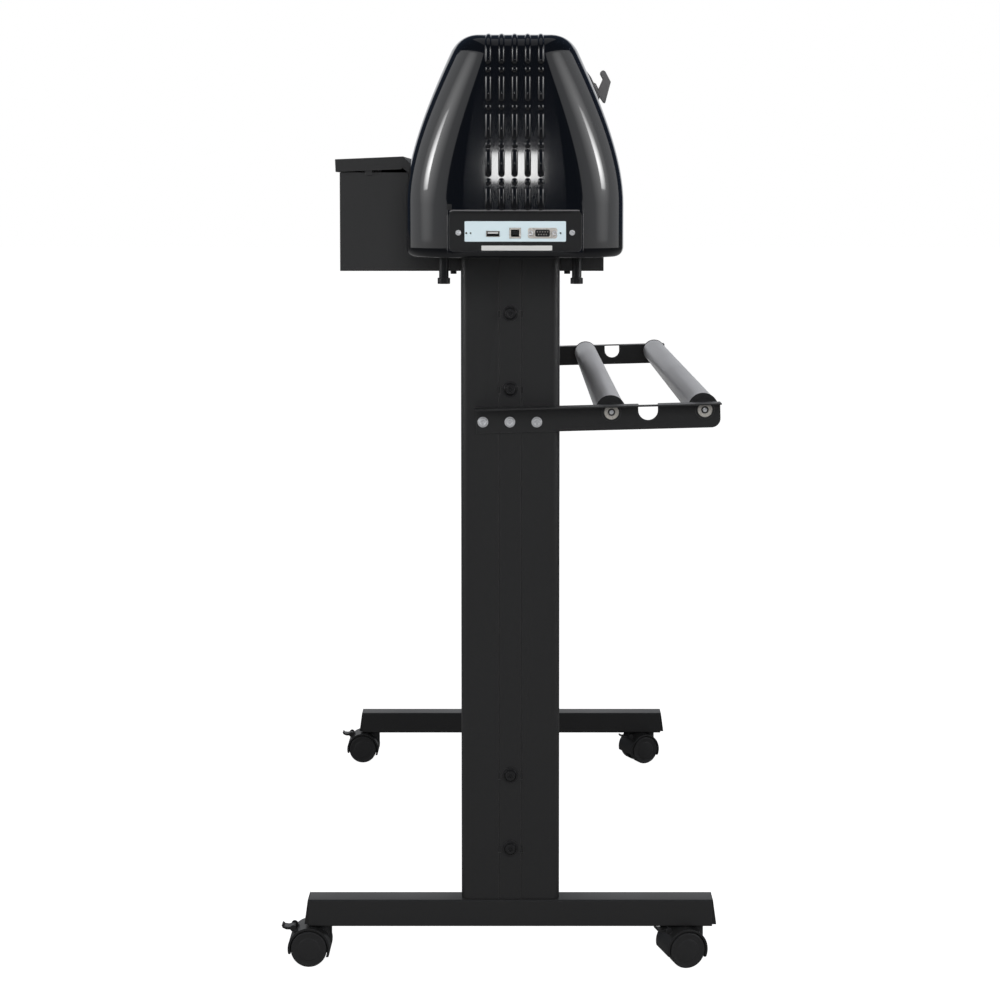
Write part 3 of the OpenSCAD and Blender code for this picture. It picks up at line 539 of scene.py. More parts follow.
def face_towards(shape, direction):
    """The face that looks furthest in a direction."""
    return max(shape.faces, key=lambda face: face.calc_center_median().dot(Vector(direction)))


def sink(shape, direction, margin, depth):
    """Insets the face that looks in a direction and pushes it back, which leaves a wall round it."""
    direction = Vector(direction)
    face = face_towards(shape, direction)
    bmesh.ops.inset_individual(shape, faces=[face], thickness=margin)
    pushed = bmesh.ops.extrude_face_region(shape, geom=[face])["geom"]
    moved = [item for item in pushed if isinstance(item, bmesh.types.BMVert)]
    bmesh.ops.translate(shape, vec=-depth * direction, verts=moved)
    if face.is_valid:
        bmesh.ops.delete(shape, geom=[face], context="FACES_ONLY")
    return shape


def rod(path, radius, side, points=16):
    """A round bar along a path, with round ends. side is the direction square to the path's plane."""
    side = Vector(side)
    path = [Vector(point) for point in path]
    ways = [path[1] - path[0]] + [b - a for a, b in zip(path, path[2:])] + [path[-1] - path[-2]]
    ways = [way.normalized() for way in ways]
    rounds = [math.radians(angle) for angle in (84, 66, 48, 32, 16)]
    caps = [(radius * math.sin(a), radius * math.cos(a)) for a in rounds]
    stations = [(path[0] - ways[0] * back, ways[0], reach) for back, reach in caps]
    stations += [(place, way, radius) for place, way in zip(path, ways)]
    stations += [(path[-1] + ways[-1] * out, ways[-1], reach) for out, reach in caps[::-1]]
    rings = []
    for place, way, reach in stations:
        across = way.cross(side)
        turns = [math.tau * i / points for i in range(points)]
        rings.append([place + reach * (math.cos(t) * across + math.sin(t) * side) for t in turns])
    return loft(rings)


def join(*shapes):
    """One shape that holds several, each kept closed in itself."""
    whole = bmesh.new()
    for shape in shapes:
        carrier = bpy.data.meshes.new("carrier")
        shape.to_mesh(carrier)
        shape.free()
        whole.from_mesh(carrier)
        bpy.data.meshes.remove(carrier)
    return whole


def as_object(shape, name):
    mesh = bpy.data.meshes.new(name)
    shape.to_mesh(mesh)
    shape.free()
    made = bpy.data.objects.new(name, mesh)
    bpy.context.scene.collection.objects.link(made)
    return made


def combine(first, second, operation="DIFFERENCE"):
    """The exact union, difference or intersection of two closed shapes."""
    body = as_object(first, "body")
    tool = as_object(second, "tool")
    change = body.modifiers.new("Combine", "BOOLEAN")
    change.operation = operation
    change.object = tool
    change.solver = "EXACT"
    graph = bpy.context.evaluated_depsgraph_get()
    finished = bpy.data.meshes.new_from_object(body.evaluated_get(graph))
    result = bmesh.new()
    result.from_mesh(finished)
    for helper in (body, tool):
        mesh = helper.data
        bpy.data.objects.remove(helper)
        bpy.data.meshes.remove(mesh)
    bpy.data.meshes.remove(finished)
    bmesh.ops.remove_doubles(result, verts=result.verts, dist=1e-3)
    return result


def mirrored(shape, side):
    """The shape itself on the right, or its mirror image on the left."""
    if side < 0:
        bmesh.ops.scale(shape, vec=(-1, 1, 1), verts=shape.verts)
        bmesh.ops.reverse_faces(shape, faces=shape.faces)
    return shape


def cad_copy(node, flat_angle=0.4):
    """A merged copy of a CAD node, with its flat faces made whole."""
    shape = bmesh.new()
    shape.from_mesh(frame["nodes"][node].data)
    bmesh.ops.scale(shape, vec=(1 / MM, 1 / MM, 1 / MM), verts=shape.verts)
    bmesh.ops.remove_doubles(shape, verts=shape.verts, dist=2e-3)
    bmesh.ops.dissolve_limit(
        shape, angle_limit=math.radians(flat_angle), verts=shape.verts, edges=shape.edges
    )
    return shape


def paint(shape, index, test):
    """Gives the faces whose centre and normal pass the test the finish of that index."""
    for face in shape.faces:
        if test(face.calc_center_median(), face.normal):
            face.material_index = index


def islands_of(shape):
    """The separate solids in a shape, as lists of vertices."""
    left = set(shape.verts)
    found = []
    while left:
        grown = [left.pop()]
        for vert in grown:
            for edge in vert.link_edges:
                other = edge.other_vert(vert)
                if other in left:
                    left.remove(other)
                    grown.append(other)
        found.append(grown)
    return found


def keep_islands(shape, test):
    """Keeps only the separate solids whose middle passes the test."""
    for island in islands_of(shape):
        middle = sum((vert.co for vert in island), Vector()) / len(island)
        if not test(middle):
            bmesh.ops.delete(shape, geom=island, context="VERTS")
    return shape


def add_piece(name, shape, finishes, nodes, bevel=0.0, segments=2, smooth=32.0, flats=False):
    """Makes a shape an object that stands for CAD nodes and rides on their body."""
    bmesh.ops.scale(shape, vec=(MM, MM, MM), verts=shape.verts)
    piece = as_object(shape, name)
    for finish in finishes:
        piece.data.materials.append(material_of(finish))
    piece.data.shade_smooth()
    piece.data.set_sharp_from_angle(angle=math.radians(smooth))
    if bevel:
        soften = piece.modifiers.new("Soft edges", "BEVEL")
        soften.width = bevel
        soften.segments = segments
        soften.limit_method = "ANGLE"
        soften.angle_limit = math.radians(smooth)
        soften.use_clamp_overlap = False
        soften.harden_normals = True
    if flats:
        even = piece.modifiers.new("Flat faces stay flat", "WEIGHTED_NORMAL")
        even.keep_sharp = True
    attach(piece, frame["nodes"][nodes[0]]["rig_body"])
    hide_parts(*nodes)
    return piece


# ---------- end caps ----------
FACE_X = CAP_HIGH.x - 2.4
CAP_TOP = CAP_HIGH.z - 1.2
CAP_BASE = CAP_LOW.z
HALF_WIDTH = (CAP_HIGH.y - CAP_LOW.y) / 2
CROWN_RUN = 40.0
CROWN_DROP = 18.5
BULGE = 56.0
FACE_SHARE = 0.46
CREASE_ANGLE = 20.0
ROLL_Z = 940.0
# Middle of the port recess, its half width, half height and depth
PANEL_Y = STAND_Y + 5.4
PANEL_Z = 816.4
RECESS_REACH = 69.4
RECESS_RISE = 20.9
RECESS_DEPTH = 4.0
RECESS_LOW = Vector((FACE_X - RECESS_DEPTH, PANEL_Y - RECESS_REACH, PANEL_Z - RECESS_RISE))
RECESS_HIGH = Vector((FACE_X + 3.0, PANEL_Y + RECESS_REACH, PANEL_Z + RECESS_RISE))
TOP_STUD_Z = 985.0


def bezier(points, t):
    while len(points) > 1:
        points = [a.lerp(b, t) for a, b in zip(points, points[1:])]
    return points[0]


def cap_half(inset):
    """Half of the cap's outline as (Y, Z): lower corner, side, long flank and shoulder."""
    corner = 10.0
    outline = []
    for step in range(9):
        angle = math.radians(-90 + 90 * step / 8)
        across = HALF_WIDTH - inset - corner + corner * math.cos(angle)
        outline.append((across, CAP_BASE + inset + corner + corner * math.sin(angle)))
    flank = [Vector(p) for p in ((HALF_WIDTH, 845), (HALF_WIDTH, 890), (96.3, 944.4), (67, 1007))]
    for step in range(23):
        across, height = bezier(flank, step / 22)
        outline.append((across - inset, height - inset * (height - 845) / 163))
    shoulder = [Vector(p) for p in ((67, 1007), (58, CAP_TOP), (40, CAP_TOP))]
    for step in range(1, 10):
        across, height = bezier(shoulder, step / 9)
        outline.append((across - inset * (1 - step / 9), height - inset))
    return outline


def cap_width(depth):
    """Share of the full width at a depth: the flat face ends in a crease, and the flank curves on from it."""
    start = math.radians(CREASE_ANGLE)
    turn = math.acos(math.cos(start) * (1 - min(depth, BULGE) / BULGE))
    return FACE_SHARE + (1 - FACE_SHARE) * (math.sin(turn) - math.sin(start)) / (1 - math.sin(start))


def cap_ring(depth, inset):
    """The cap's outline at a depth behind its face, narrowed, rolled down and lifted as the face curves."""
    width = cap_width(depth)
    drop = CROWN_DROP * (1 - math.sqrt(1 - (1 - min(depth, CROWN_RUN) / CROWN_RUN) ** 2))
    lift = 7 - math.sqrt(49 - (7 - min(depth, 7.0)) ** 2)
    half = []
    for across, height in cap_half(inset):
        rolled = height - drop * (max(0.0, height - ROLL_Z) / (CAP_TOP - ROLL_Z)) ** 2
        raised = lift * max(0.0, 1 - (height - CAP_BASE) / 40)
        half.append((across * width, rolled + raised))
    face = FACE_X - inset - depth
    right = [Vector((face, CAP_Y + across, height)) for across, height in half]
    left = [Vector((face, CAP_Y - across, height)) for across, height in half[::-1]]
    return right + left


def cap_block(back, inset):
    depths = [BULGE * (1 - math.cos(math.radians(5 * step))) for step in range(19)]
    rest = FACE_X - inset - back
    straight = [BULGE + (rest - BULGE) * step / 3 for step in range(1, 4)]
    return loft([cap_ring(depth, inset) for depth in depths + straight])


def rib_lengths():
    """Paths in (X, Z) along one rib: the crowned top length, then lengths between the studs."""
    pitch = sizes().stud_pitch / MM
    gap = sizes().stud_gap / MM
    proud = (sizes().rib_radius - sizes().rib_height) / MM
    axis_x = FACE_X - proud
    crown_x = FACE_X - CROWN_RUN
    crown_z = CAP_TOP - CROWN_DROP
    rise = CROWN_DROP - (sizes().rib_radius - sizes().crown_rib_height) / MM
    turns = [math.radians(10 * step) for step in range(10)]
    over = [(crown_x + (axis_x - crown_x) * math.cos(t), crown_z + rise * math.sin(t)) for t in turns]
    top = [(axis_x, TOP_STUD_Z + gap)] + over + [(crown_x - 26, crown_z + rise)]
    studs = [TOP_STUD_Z - pitch * i for i in range(4)]
    lengths = [top]
    for upper, lower in zip(studs, studs[1:]):
        lengths.append([(axis_x, lower + gap), (axis_x, upper - gap)])
    lengths.append([(axis_x, RECESS_HIGH.z + 2.0), (axis_x, studs[-1] - gap)])
    return lengths, [(axis_x, stud) for stud in studs]


def cap_ribs():
    """Five ribs in lengths, with a stud in each gap."""
    radius = sizes().rib_radius / MM
    lengths, studs = rib_lengths()
    bars = []
    for column in range(-2, 3):
        y = CAP_Y + column * sizes().rib_pitch / MM
        for path in lengths:
            inner = [(x, y, z) for x, z in path]
            first = Vector(inner[0])
            last = Vector(inner[-1])
            inner[0] = first + (Vector(inner[1]) - first).normalized() * radius * 0.6
            inner[-1] = last + (Vector(inner[-2]) - last).normalized() * radius * 0.6
            bars.append(rod(inner, radius, (0, 1, 0)))
        for x, z in studs:
            bars.append(rod([(x, y, z - 1.0), (x, y, z + 1.0)], radius * 0.92, (0, 1, 0)))
    return bars


def hollow_cap():
    back, _ = corners_of("right_end_cap")
    wall = sizes().cap_wall / MM
    return combine(cap_block(back.x, 0.0), cap_block(back.x - 2.0, wall))


def cap_with_recess():
    """The right cap: a recess for the port plate, its floor, and the way through for the sockets."""
    backing = block(
        (FACE_X - RECESS_DEPTH - 3.0, RECESS_LOW.y - 1.6, RECESS_LOW.z - 1.6),
        (FACE_X - 3.5, RECESS_HIGH.y + 1.6, RECESS_HIGH.z + 1.6),
    )
    shell = combine(hollow_cap(), backing, "UNION")
    shell = combine(shell, block(RECESS_LOW, RECESS_HIGH, "X", 4.5, 6))
    plate = middle_of("io_plate")
    window = block((FACE_X - 20, plate.y - 50, plate.z - 10), (FACE_X, plate.y + 50, plate.z + 8))
    return combine(shell, window)


def cap_with_inlet():
    """The left cap, drawn on the right: openings for the mains inlet and its rocker switch."""
    low, high = corners_of("power_inlet")
    middle = (low.y + high.y) / 2
    shell = hollow_cap()
    for start, end in ((low.y - 0.2, middle + 2.0), (middle + 5.0, high.y + 0.2)):
        shell = combine(shell, block((FACE_X - 12, start, low.z - 0.2), (FACE_X + 1, end, high.z + 0.2)))
    return shell


def in_recess(centre, normal):
    """True for the floor and the walls of the port recess."""
    low = RECESS_LOW - Vector((0.5, 0.1, 0.1))
    inside = all(low[i] < centre[i] < RECESS_HIGH[i] + 0.1 for i in range(3))
    return inside and (centre.x < FACE_X - 3.6 or abs(normal.x) < 0.1)


def cap_surface(across):
    """X of the cap's skin at a distance from its middle, below the crown."""
    start = math.radians(CREASE_ANGLE)
    share = max(0.0, abs(across) / HALF_WIDTH - FACE_SHARE) / (1 - FACE_SHARE)
    turn = math.asin(math.sin(start) + share * (1 - math.sin(start)))
    return FACE_X - BULGE * (1 - math.cos(turn) / math.cos(start))


def recess_highlight_bead():
    """A thin raised line up one side of the port recess, over its top and down the other side. It is coloured
    grey as a painted highlight along the rim of the gloss moulding.
    """
    corner = 6.0
    reach = (RECESS_HIGH.y - RECESS_LOW.y) / 2 + 1.2
    top = RECESS_HIGH.z + 1.2
    middle = (RECESS_HIGH.y + RECESS_LOW.y) / 2
    half = [((reach - corner) * step / 16, top) for step in range(16)]
    for step in range(9):
        turn = math.radians(90 - 90 * step / 8)
        half.append((reach - corner + corner * math.cos(turn), top - corner + corner * math.sin(turn)))
    half.append((reach, RECESS_LOW.z + 1.5))
    line = [(-across, height) for across, height in half[:0:-1]] + half
    path = [(cap_surface(middle + across - CAP_Y), middle + across, height) for across, height in line]
    return rod(path, 0.75, (1, 0, 0), 10)


def make_end_caps():
    for word, side in SIDES.items():
        node = word + "_end_cap"
        shell = cap_with_recess() if side > 0 else cap_with_inlet()
        if side > 0:
            paint(shell, 1, in_recess)
        add_piece(
            node + "_moulding", mirrored(shell, side), ["gloss_black", "black_plastic"], [node],
            bevel=sizes().sheet_edge, flats=True,
        )
        if side > 0:
            # The bead is a raised lip in grey, a painted highlight on the glossy rim.
            add_piece(node + "_bead", recess_highlight_bead(), ["lever_grey"], [node])
        ribs = mirrored(join(*cap_ribs()), side)
        add_piece(node + "_ribs", ribs, ["gloss_black"], [node])


# ---------- data ports ----------
def cross_screw(centre, radius, height):
    """A pan head that faces +X, with a cross recess."""
    dome = [(0.0, height * 0.72), (radius * 0.35, height * 0.72), (radius * 0.62, height),
            (radius * 0.86, height * 0.86), (radius, height * 0.45), (radius, -0.6), (0.0, -0.6)]
    head = turned(dome, centre, closed=False, steps=32)
    x, y, z = centre
    long = radius * 0.55
    narrow = radius * 0.12
    for across, up in ((long, narrow), (narrow, long)):
        slot = block((x + height * 0.25, y - across, z - up), (x + height * 1.5, y + across, z + up))
        head = combine(head, slot)
    return head


def socket_shell(low, high, wall, depth, corner):
    """A sheet-metal socket that opens towards +X."""
    shape = sink(block(low, high, "X", corner, 3), (1, 0, 0), wall, depth)
    # The walls and floor inside the mouth get dark plastic, a painted shade.
    paint_shade_inside(shape, low, high, wall)
    return shape


def paint_shade_inside(shape, low, high, wall):
    """Gives the faces inside a socket's mouth the second finish, dark plastic, as painted shade: the metal
    walls and floor in there are coloured dark for the shade that falls inside.
    """
    paint(shape, 1, lambda c, n: all(low[i] + wall / 2 < c[i] < high[i] - wall / 2 for i in range(3)))


def make_port_plate():
    plate = keep_islands(cad_copy("io_plate"), lambda c: abs(c.y - PANEL_Y) < 40)
    add_piece("port_plate_sheet", plate, ["ice_plate"], ["io_plate"], bevel=sizes().sheet_edge / 4)
    low, high = corners_of("io_plate")
    screw_x = high.x - 1.6
    section = [(3.4, -2.4), (5.2, -2.4), (5.2, -0.9), (4.4, -0.5), (3.4, -1.0)]
    for index, y in enumerate((low.y + 3.0, high.y - 3.0)):
        centre = (screw_x, y, PANEL_Z - 1.2)
        head = cross_screw(centre, 3.0, 1.5)
        add_piece(f"port_plate_screw_{index}", head, ["zinc"], ["io_plate"], bevel=0.1 * MM)
        collar = turned(section, centre)
        add_piece(f"port_plate_collar_{index}", collar, ["black_plastic"], ["io_plate"])
    label = block(
        (FACE_X - 4.05, STAND_Y - 30, 796.6), (FACE_X - 3.75, STAND_Y + 44, 801.8), "X", 0.6, 2
    )
    add_piece("port_label_strip", label, ["strip_white"], ["io_plate"])


def serial_shell(x, y, z):
    """The D-shaped shell of the serial port."""
    low = (x - 17, y - 9.0, z - 4.8)
    high = (x - 2.0, y + 9.0, z + 4.8)
    shell = block(low, high)
    for vert in shell.verts:
        if vert.co.z < z:
            vert.co.y += 1.1 if vert.co.y < y else -1.1
    lines = [e for e in shell.edges if abs((e.verts[0].co - e.verts[1].co).x) > 1]
    round_edges(shell, lines, 1.8, 4)
    sink(shell, (1, 0, 0), 0.5, 12.0)
    # The walls inside the D-shell get dark plastic, a painted shade.
    paint_shade_inside(shell, low, high, 1.4)
    return shell


def serial_insert(x, y, z):
    """The moulded insert of the serial port, with its two rows of pin holes."""
    insert = block((x - 15, y - 7.6, z - 3.6), (x - 2.7, y + 7.6, z + 3.6), "X", 1.4, 3)
    section = [(0.0, -3.0), (0.55, -3.0), (0.55, 1.0), (0.0, 1.0)]
    for row, count in ((1.4, 5), (-1.4, 4)):
        for pin in range(count):
            at = y + (pin - (count - 1) / 2) * 2.7
            hole = turned(section, (x - 2.7, at, z + row), steps=12, closed=False)
            insert = combine(insert, hole)
    return insert


def serial_jack(centre):
    """A hexagonal threaded jack and its sleeve."""
    nut = [(1.3, -0.2), (2.9, -0.2), (2.9, 2.2), (2.6, 2.5), (1.3, 2.5)]
    sleeve = [(1.3, -8.0), (1.6, -8.0), (1.6, 0.0), (1.3, 0.0)]
    return join(turned(nut, centre, steps=6), turned(sleeve, centre, steps=24))


def make_ports():
    x = FACE_X
    z = PANEL_Z - 1.6
    a_y = PANEL_Y - 23.4
    a_z = PANEL_Z - 2.4
    b_y = PANEL_Y - 0.2
    serial_y = PANEL_Y + 28.5
    usb_a = socket_shell(
        (x - 17, a_y - 6.9, a_z - 2.95), (x - 2.6, a_y + 6.9, a_z + 2.95), 0.4, 12.0, 0.5
    )
    usb_b = socket_shell(
        (x - 19, b_y - 6.0, z - 5.4), (x - 2.6, b_y + 6.0, z + 5.4), 1.7, 12.0, 1.1
    )
    flange = block(
        (x - 3.6, serial_y - 15.4, z - 5.6), (x - 3.0, serial_y + 15.4, z + 5.6), "X", 2.4, 4
    )
    shells = join(usb_a, usb_b, serial_shell(x, serial_y, z), flange)
    # The shells' second finish, black plastic, is painted shade inside the socket mouths.
    add_piece(
        "port_shells", shells, ["connector_steel", "black_plastic"], ["io_ports"], bevel=0.08 * MM
    )
    tongue = block((x - 14, a_y - 5.6, a_z + 0.2), (x - 3.6, a_y + 5.6, a_z + 1.8), "X", 0.3, 2)
    add_piece("usb_a_tongue", tongue, ["strip_white"], ["io_ports"], bevel=0.08 * MM)
    post = block((x - 16, b_y - 2.9, z - 1.7), (x - 3.6, b_y + 2.9, z + 1.7), "X", 0.4, 2)
    inserts = join(post, serial_insert(x, serial_y, z))
    add_piece("port_inserts", inserts, ["black_plastic"], ["io_ports"])
    for index, jack_y in enumerate((serial_y - 12.5, serial_y + 12.5)):
        jack = serial_jack((x - 3.2, jack_y, z))
        add_piece(f"serial_jack_{index}", jack, ["zinc"], ["io_ports"], bevel=0.1 * MM)


def make_power_entry():
    shape = cad_copy("power_inlet")
    low, high = corners_of("power_inlet")
    pins = Vector((low.x + 10.5, low.y + 13.5, (low.z + high.z) / 2))
    reach = (7.3, 8.2, 6.2)
    paint(shape, 1, lambda c, n: all(abs(c[i] - pins[i]) < reach[i] for i in range(3)))
    add_piece("power_inlet_housing", shape, ["black_plastic", "zinc"], ["power_inlet"], bevel=0.3 * MM)
    rocker = cad_copy("power_rocker")
    add_piece("power_rocker_cap", rocker, ["black_plastic"], ["power_rocker"], bevel=0.5 * MM, segments=3)


# ---------- plain copies with soft edges ----------
def refine(node, finish, bevel, suffix, segments=2):
    return add_piece(f"{node}_{suffix}", cad_copy(node), [finish], [node], bevel=bevel, segments=segments)


def make_stand():
    edge = sizes().sheet_edge
    for word in SIDES:
        refine("column_" + word, "powder_black", edge, "tube")
        refine("foot_" + word, "powder_black", edge, "tube")
    refine("crossbeams", "powder_black", edge, "tubes")
    refine("foot_end_plugs", "black_plastic", edge, "wedges")
    refine("frame_bolts", "bolt_black", 0.35 * MM, "heads")


def make_casters():
    stems = cad_copy("caster_stems")
    add_piece("caster_stems_threads", stems, ["zinc"], ["caster_stems"], bevel=0.3 * MM)
    for corner in CORNERS:
        node = f"caster_{corner}_"
        refine(node + "housing", "black_plastic", sizes().moulded_edge, "hood", 3)
        refine(node + "brake", "black_plastic", 0.3 * MM, "pedal", 2)
        refine(node + "wheels", "wheel_black", 0.3 * MM, "pair", 2)


def make_roll_holder():
    for word in SIDES:
        refine("roll_bracket_" + word, "powder_black", sizes().sheet_edge * 0.35, "folded")
    make_bracket_screws()
    make_bearings()
    make_rollers()


def make_bracket_screws():
    high = corners_of("bracket_screws")[1]
    washer = [(0.0, 0.0), (5.8, 0.0), (5.9, 0.5), (5.6, 1.0), (0.0, 1.0)]
    shank = [(0.0, -8.5), (2.3, -8.5), (2.5, -8.0), (2.5, 0.3), (0.0, 0.3)]
    heads = []
    for side in (1, -1):
        for y in (-30, -0.5, 29):
            centre = (high.x - 3.2, STAND_Y + y, 606.4)
            rest = [turned(section, centre, closed=False) for section in (washer, shank)]
            heads.append(mirrored(join(cross_screw(centre, 4.9, 3.0), *rest), side))
    add_piece("bracket_screws_heads", join(*heads), ["zinc"], ["bracket_screws"], bevel=0.15 * MM)


def roller_line(node):
    """Middle of a roller's axis at its right-hand end: (Y, Z)."""
    centre = middle_of(node)
    return centre.y, centre.z


def make_bearings():
    section = [
        (4.05, -5.0), (8.0, -5.0), (8.0, -0.4), (7.6, 0.0), (6.9, 0.0), (6.7, -0.5), (5.3, -0.5),
        (5.1, 0.0), (4.3, 0.0), (4.05, -0.3),
    ]
    rings = []
    high = corners_of("roller_bearings")[1]
    for node in ("front_roller", "rear_roller"):
        y, z = roller_line(node)
        for side in (1, -1):
            rings.append(mirrored(turned(section, (high.x, y, z)), side))
    races = join(*rings)
    add_piece("roller_bearings_races", races, ["connector_steel"], ["roller_bearings"], bevel=0.12 * MM)


def roller_plug(radius, end):
    """Section of a roller's plug, up to its stub shaft."""
    return [
        (0.0, TUBE_END - 12), (radius - 1.6, TUBE_END - 12), (radius - 1.6, TUBE_END),
        (radius + 0.7, TUBE_END), (radius + 0.7, TUBE_END + 2.0), (radius - 0.6, TUBE_END + 2.6),
        (10.0, TUBE_END + 2.6), (7.0, TUBE_END + 4.5), (7.0, end - 6), (0.0, end - 6),
    ]


def roller_stub(end):
    """Section of a stub shaft: a rim round a dished middle."""
    return [
        (0.0, end - 9), (3.98, end - 9), (3.98, end - 0.8), (3.7, end - 0.5), (3.0, end - 0.5),
        (2.9, end - 1.4), (2.5, end - 1.4), (2.3, end - 0.2), (1.2, end), (0.5, end - 0.5),
        (0.0, end - 0.6),
    ]


def make_rollers():
    for node in ("front_roller", "rear_roller"):
        low, high = corners_of(node)
        y, z = roller_line(node)
        radius = (high.z - low.z) / 2 - 0.8
        wall = [
            (radius - 1.5, -TUBE_END), (radius, -TUBE_END), (radius, TUBE_END), (radius - 1.5, TUBE_END)
        ]
        tube = turned(wall, (0, y, z), steps=72)
        add_piece(node + "_tube", tube, ["roller_grey"], [node], bevel=0.25 * MM)
        for word, side in SIDES.items():
            plug = turned(roller_plug(radius, high.x), (0, y, z), closed=False, steps=64)
            plug = mirrored(plug, side)
            add_piece(f"{node}_plug_{word}", plug, ["black_plastic"], [node], bevel=0.3 * MM)
            stub = turned(roller_stub(high.x), (0, y, z), closed=False, steps=40)
            # Painted shade: everything outside the dished middle, the groove and rim included, gets the black
            # finish, and only the middle stays bright zinc.
            paint(stub, 1, lambda c, n, line=(y, z): math.hypot(c.y - line[0], c.z - line[1]) > 2.45)
            stub = mirrored(stub, side)
            add_piece(f"{node}_stub_{word}", stub, ["zinc", "bolt_black"], [node])


def make_front_table():
    refine("front_table", "table_black", sizes().sheet_edge, "box")
    refine("table_lid", "table_black", sizes().sheet_edge, "folded")


# ---------- machine ----------
def make_bed():
    edge = sizes().sheet_edge
    refine("chassis", "powder_black", edge, "extrusion")
    refine("end_plates", "zinc", edge, "sheets")
    refine("platen", "mill_aluminium", edge, "deck")
    refine("cutting_strip", "strip_white", 0.2 * MM, "inlay")
    refine("rear_apron", "powder_black", edge, "sheet")


def make_hood():
    rail = cad_copy("carriage_rail")
    guide_y = corners_of("carriage_rail")[0].y + 5.9
    paint(rail, 1, lambda c, n: c.y < guide_y)
    add_piece(
        "carriage_rail_extrusion", rail, ["mill_aluminium", "arm_steel"], ["carriage_rail"],
        bevel=sizes().sheet_edge,
    )
    refine("top_cover", "gloss_black", sizes().moulded_edge, "hood", 3)
    make_control_panel()


def make_control_panel():
    """The keypad on the hood: a dark display and six keys stand up from it."""
    shape = cad_copy("control_panel")
    front = max((f for f in shape.faces if f.normal.y < -0.5), key=lambda face: face.calc_area())
    outwards = front.normal.copy()
    level = front.calc_center_median().dot(outwards) + 0.1
    keys_x = corners_of("control_panel")[0].x + 68
    paint(shape, 1, lambda c, n: c.dot(outwards) > level and c.x < keys_x)
    paint(shape, 2, lambda c, n: c.dot(outwards) > level and c.x > keys_x)
    add_piece(
        "control_panel_keys", shape, ["black_plastic", "gloss_black", "lever_grey"], ["control_panel"],
        bevel=0.15 * MM,
    )


def make_drives():
    motors = cad_copy("drive_motors")
    plate_x = corners_of("end_plates")[1].x - 14
    can_x = corners_of("chassis")[1].x + 1
    paint(motors, 1, lambda c, n: c.z > 980.1 or can_x < c.x < plate_x + 20)
    add_piece("drive_motors_cans", motors, ["motor_black", "arm_steel"], ["drive_motors"], bevel=0.3 * MM)
    belts = cad_copy("drive_belts")
    add_piece("drive_belts_loops", belts, ["pinch_rubber"], ["drive_belts"])
    board = cad_copy("electronics")
    low = corners_of("electronics")[0]
    board_top = 801.7
    finishes = ["circuit_green", "zinc", "black_plastic"]
    paint(board, 2, lambda c, n: c.z > board_top or c.z < board_top - 1.8)
    paint(board, 1, lambda c, n: c.x > low.x + 170)
    add_piece("electronics_board", board, finishes, ["electronics"], bevel=0.2 * MM)


def make_feed_shaft():
    """The shaft, with a gritted sleeve under each pinch roller."""
    shaft = cad_copy("feed_shaft")
    line = middle_of("feed_shaft")
    end = corners_of("feed_shaft")[1].x - 45
    paint(shaft, 1, lambda c, n: abs(c.x) < end and math.hypot(c.y - line.y, c.z - line.z) > 5.4)
    add_piece("feed_shaft_line", shaft, ["arm_steel", "grit_steel"], ["feed_shaft"], bevel=0.3 * MM)


def make_carriage():
    refine("carriage", "black_plastic", sizes().moulded_edge, "block", 3)
    refine("tool_holder", "lever_grey", 0.5 * MM, "clamp", 3)


def make_pinch_units():
    for unit in PINCH_UNITS:
        node = f"pinch_{unit}_"
        refine(node + "block", "lever_grey", 0.5 * MM, "body")
        refine(node + "arm", "arm_steel", 0.4 * MM, "fork")
        refine(node + "lever", "lever_grey", 0.4 * MM, "grip")
        roller = cad_copy(node + "roller")
        middle = middle_of(node + "roller")
        paint(roller, 1, lambda c, n, at=middle.x: abs(c.x - at) > 6.3)
        add_piece(node + "roller_tyre", roller, ["pinch_rubber", "zinc"], [node + "roller"], bevel=0.4 * MM)


# ---------- studio ----------
def softbox(name, place, target, width, height, radiance, spread=180.0):
    """A soft area light as bright at any size. It fades off its axis when spread is below 180 degrees."""
    light = bpy.data.lights.new(name, "AREA")
    light.shape = "RECTANGLE"
    light.size = width
    light.size_y = height
    light.energy = math.pi * width * height * radiance
    if spread < 180.0:
        half = math.radians(spread / 2)
        light.spread = 2 * half
        light.energy *= (math.tan(half) - half) / math.tan(half)
    lamp = bpy.data.objects.new(name, light)
    bpy.context.scene.collection.objects.link(lamp)
    lamp.location = place
    lamp.rotation_euler = (Vector(target) - Vector(place)).to_track_quat("-Z", "Y").to_euler()
    lamp.visible_camera = False
    return lamp


def make_lights():
    for side in (1, -1):
        flank = (0.45, 0.1 * side, 0.93)
        softbox(f"side_softbox_{side}", (0.75, 2.1 * side, 1.38), flank, 3.4, 1.4, 1.0, 140.0)
        softbox(f"side_glow_{side}", (1.0, 2.0 * side, 1.34), flank, 1.6, 1.2, 2.4, 36.0)
        softbox(f"side_strip_{side}", (0.95, 1.95 * side, 1.25), flank, 0.34, 0.52, 18.0, 17.0)
    softbox("overhead", (0.3, 0.0, 2.7), (0.0, 0.0, 0.0), 2.2, 2.2, 0.25)
    softbox("backdrop", (-3.2, 0.0, 1.2), (0.0, 0.0, 0.8), 4.5, 2.4, 0.7)
    softbox("face_patch", (EYE.x, EYE.y, 0.907), (0.5, EYE.y, 0.9), 0.112, 0.06, 19.0)
    front = softbox("front_fill", (3.2, 0.0, 1.6), (0.0, 0.0, 0.7), 1.5, 1.5, 5.6)
    front.visible_glossy = False


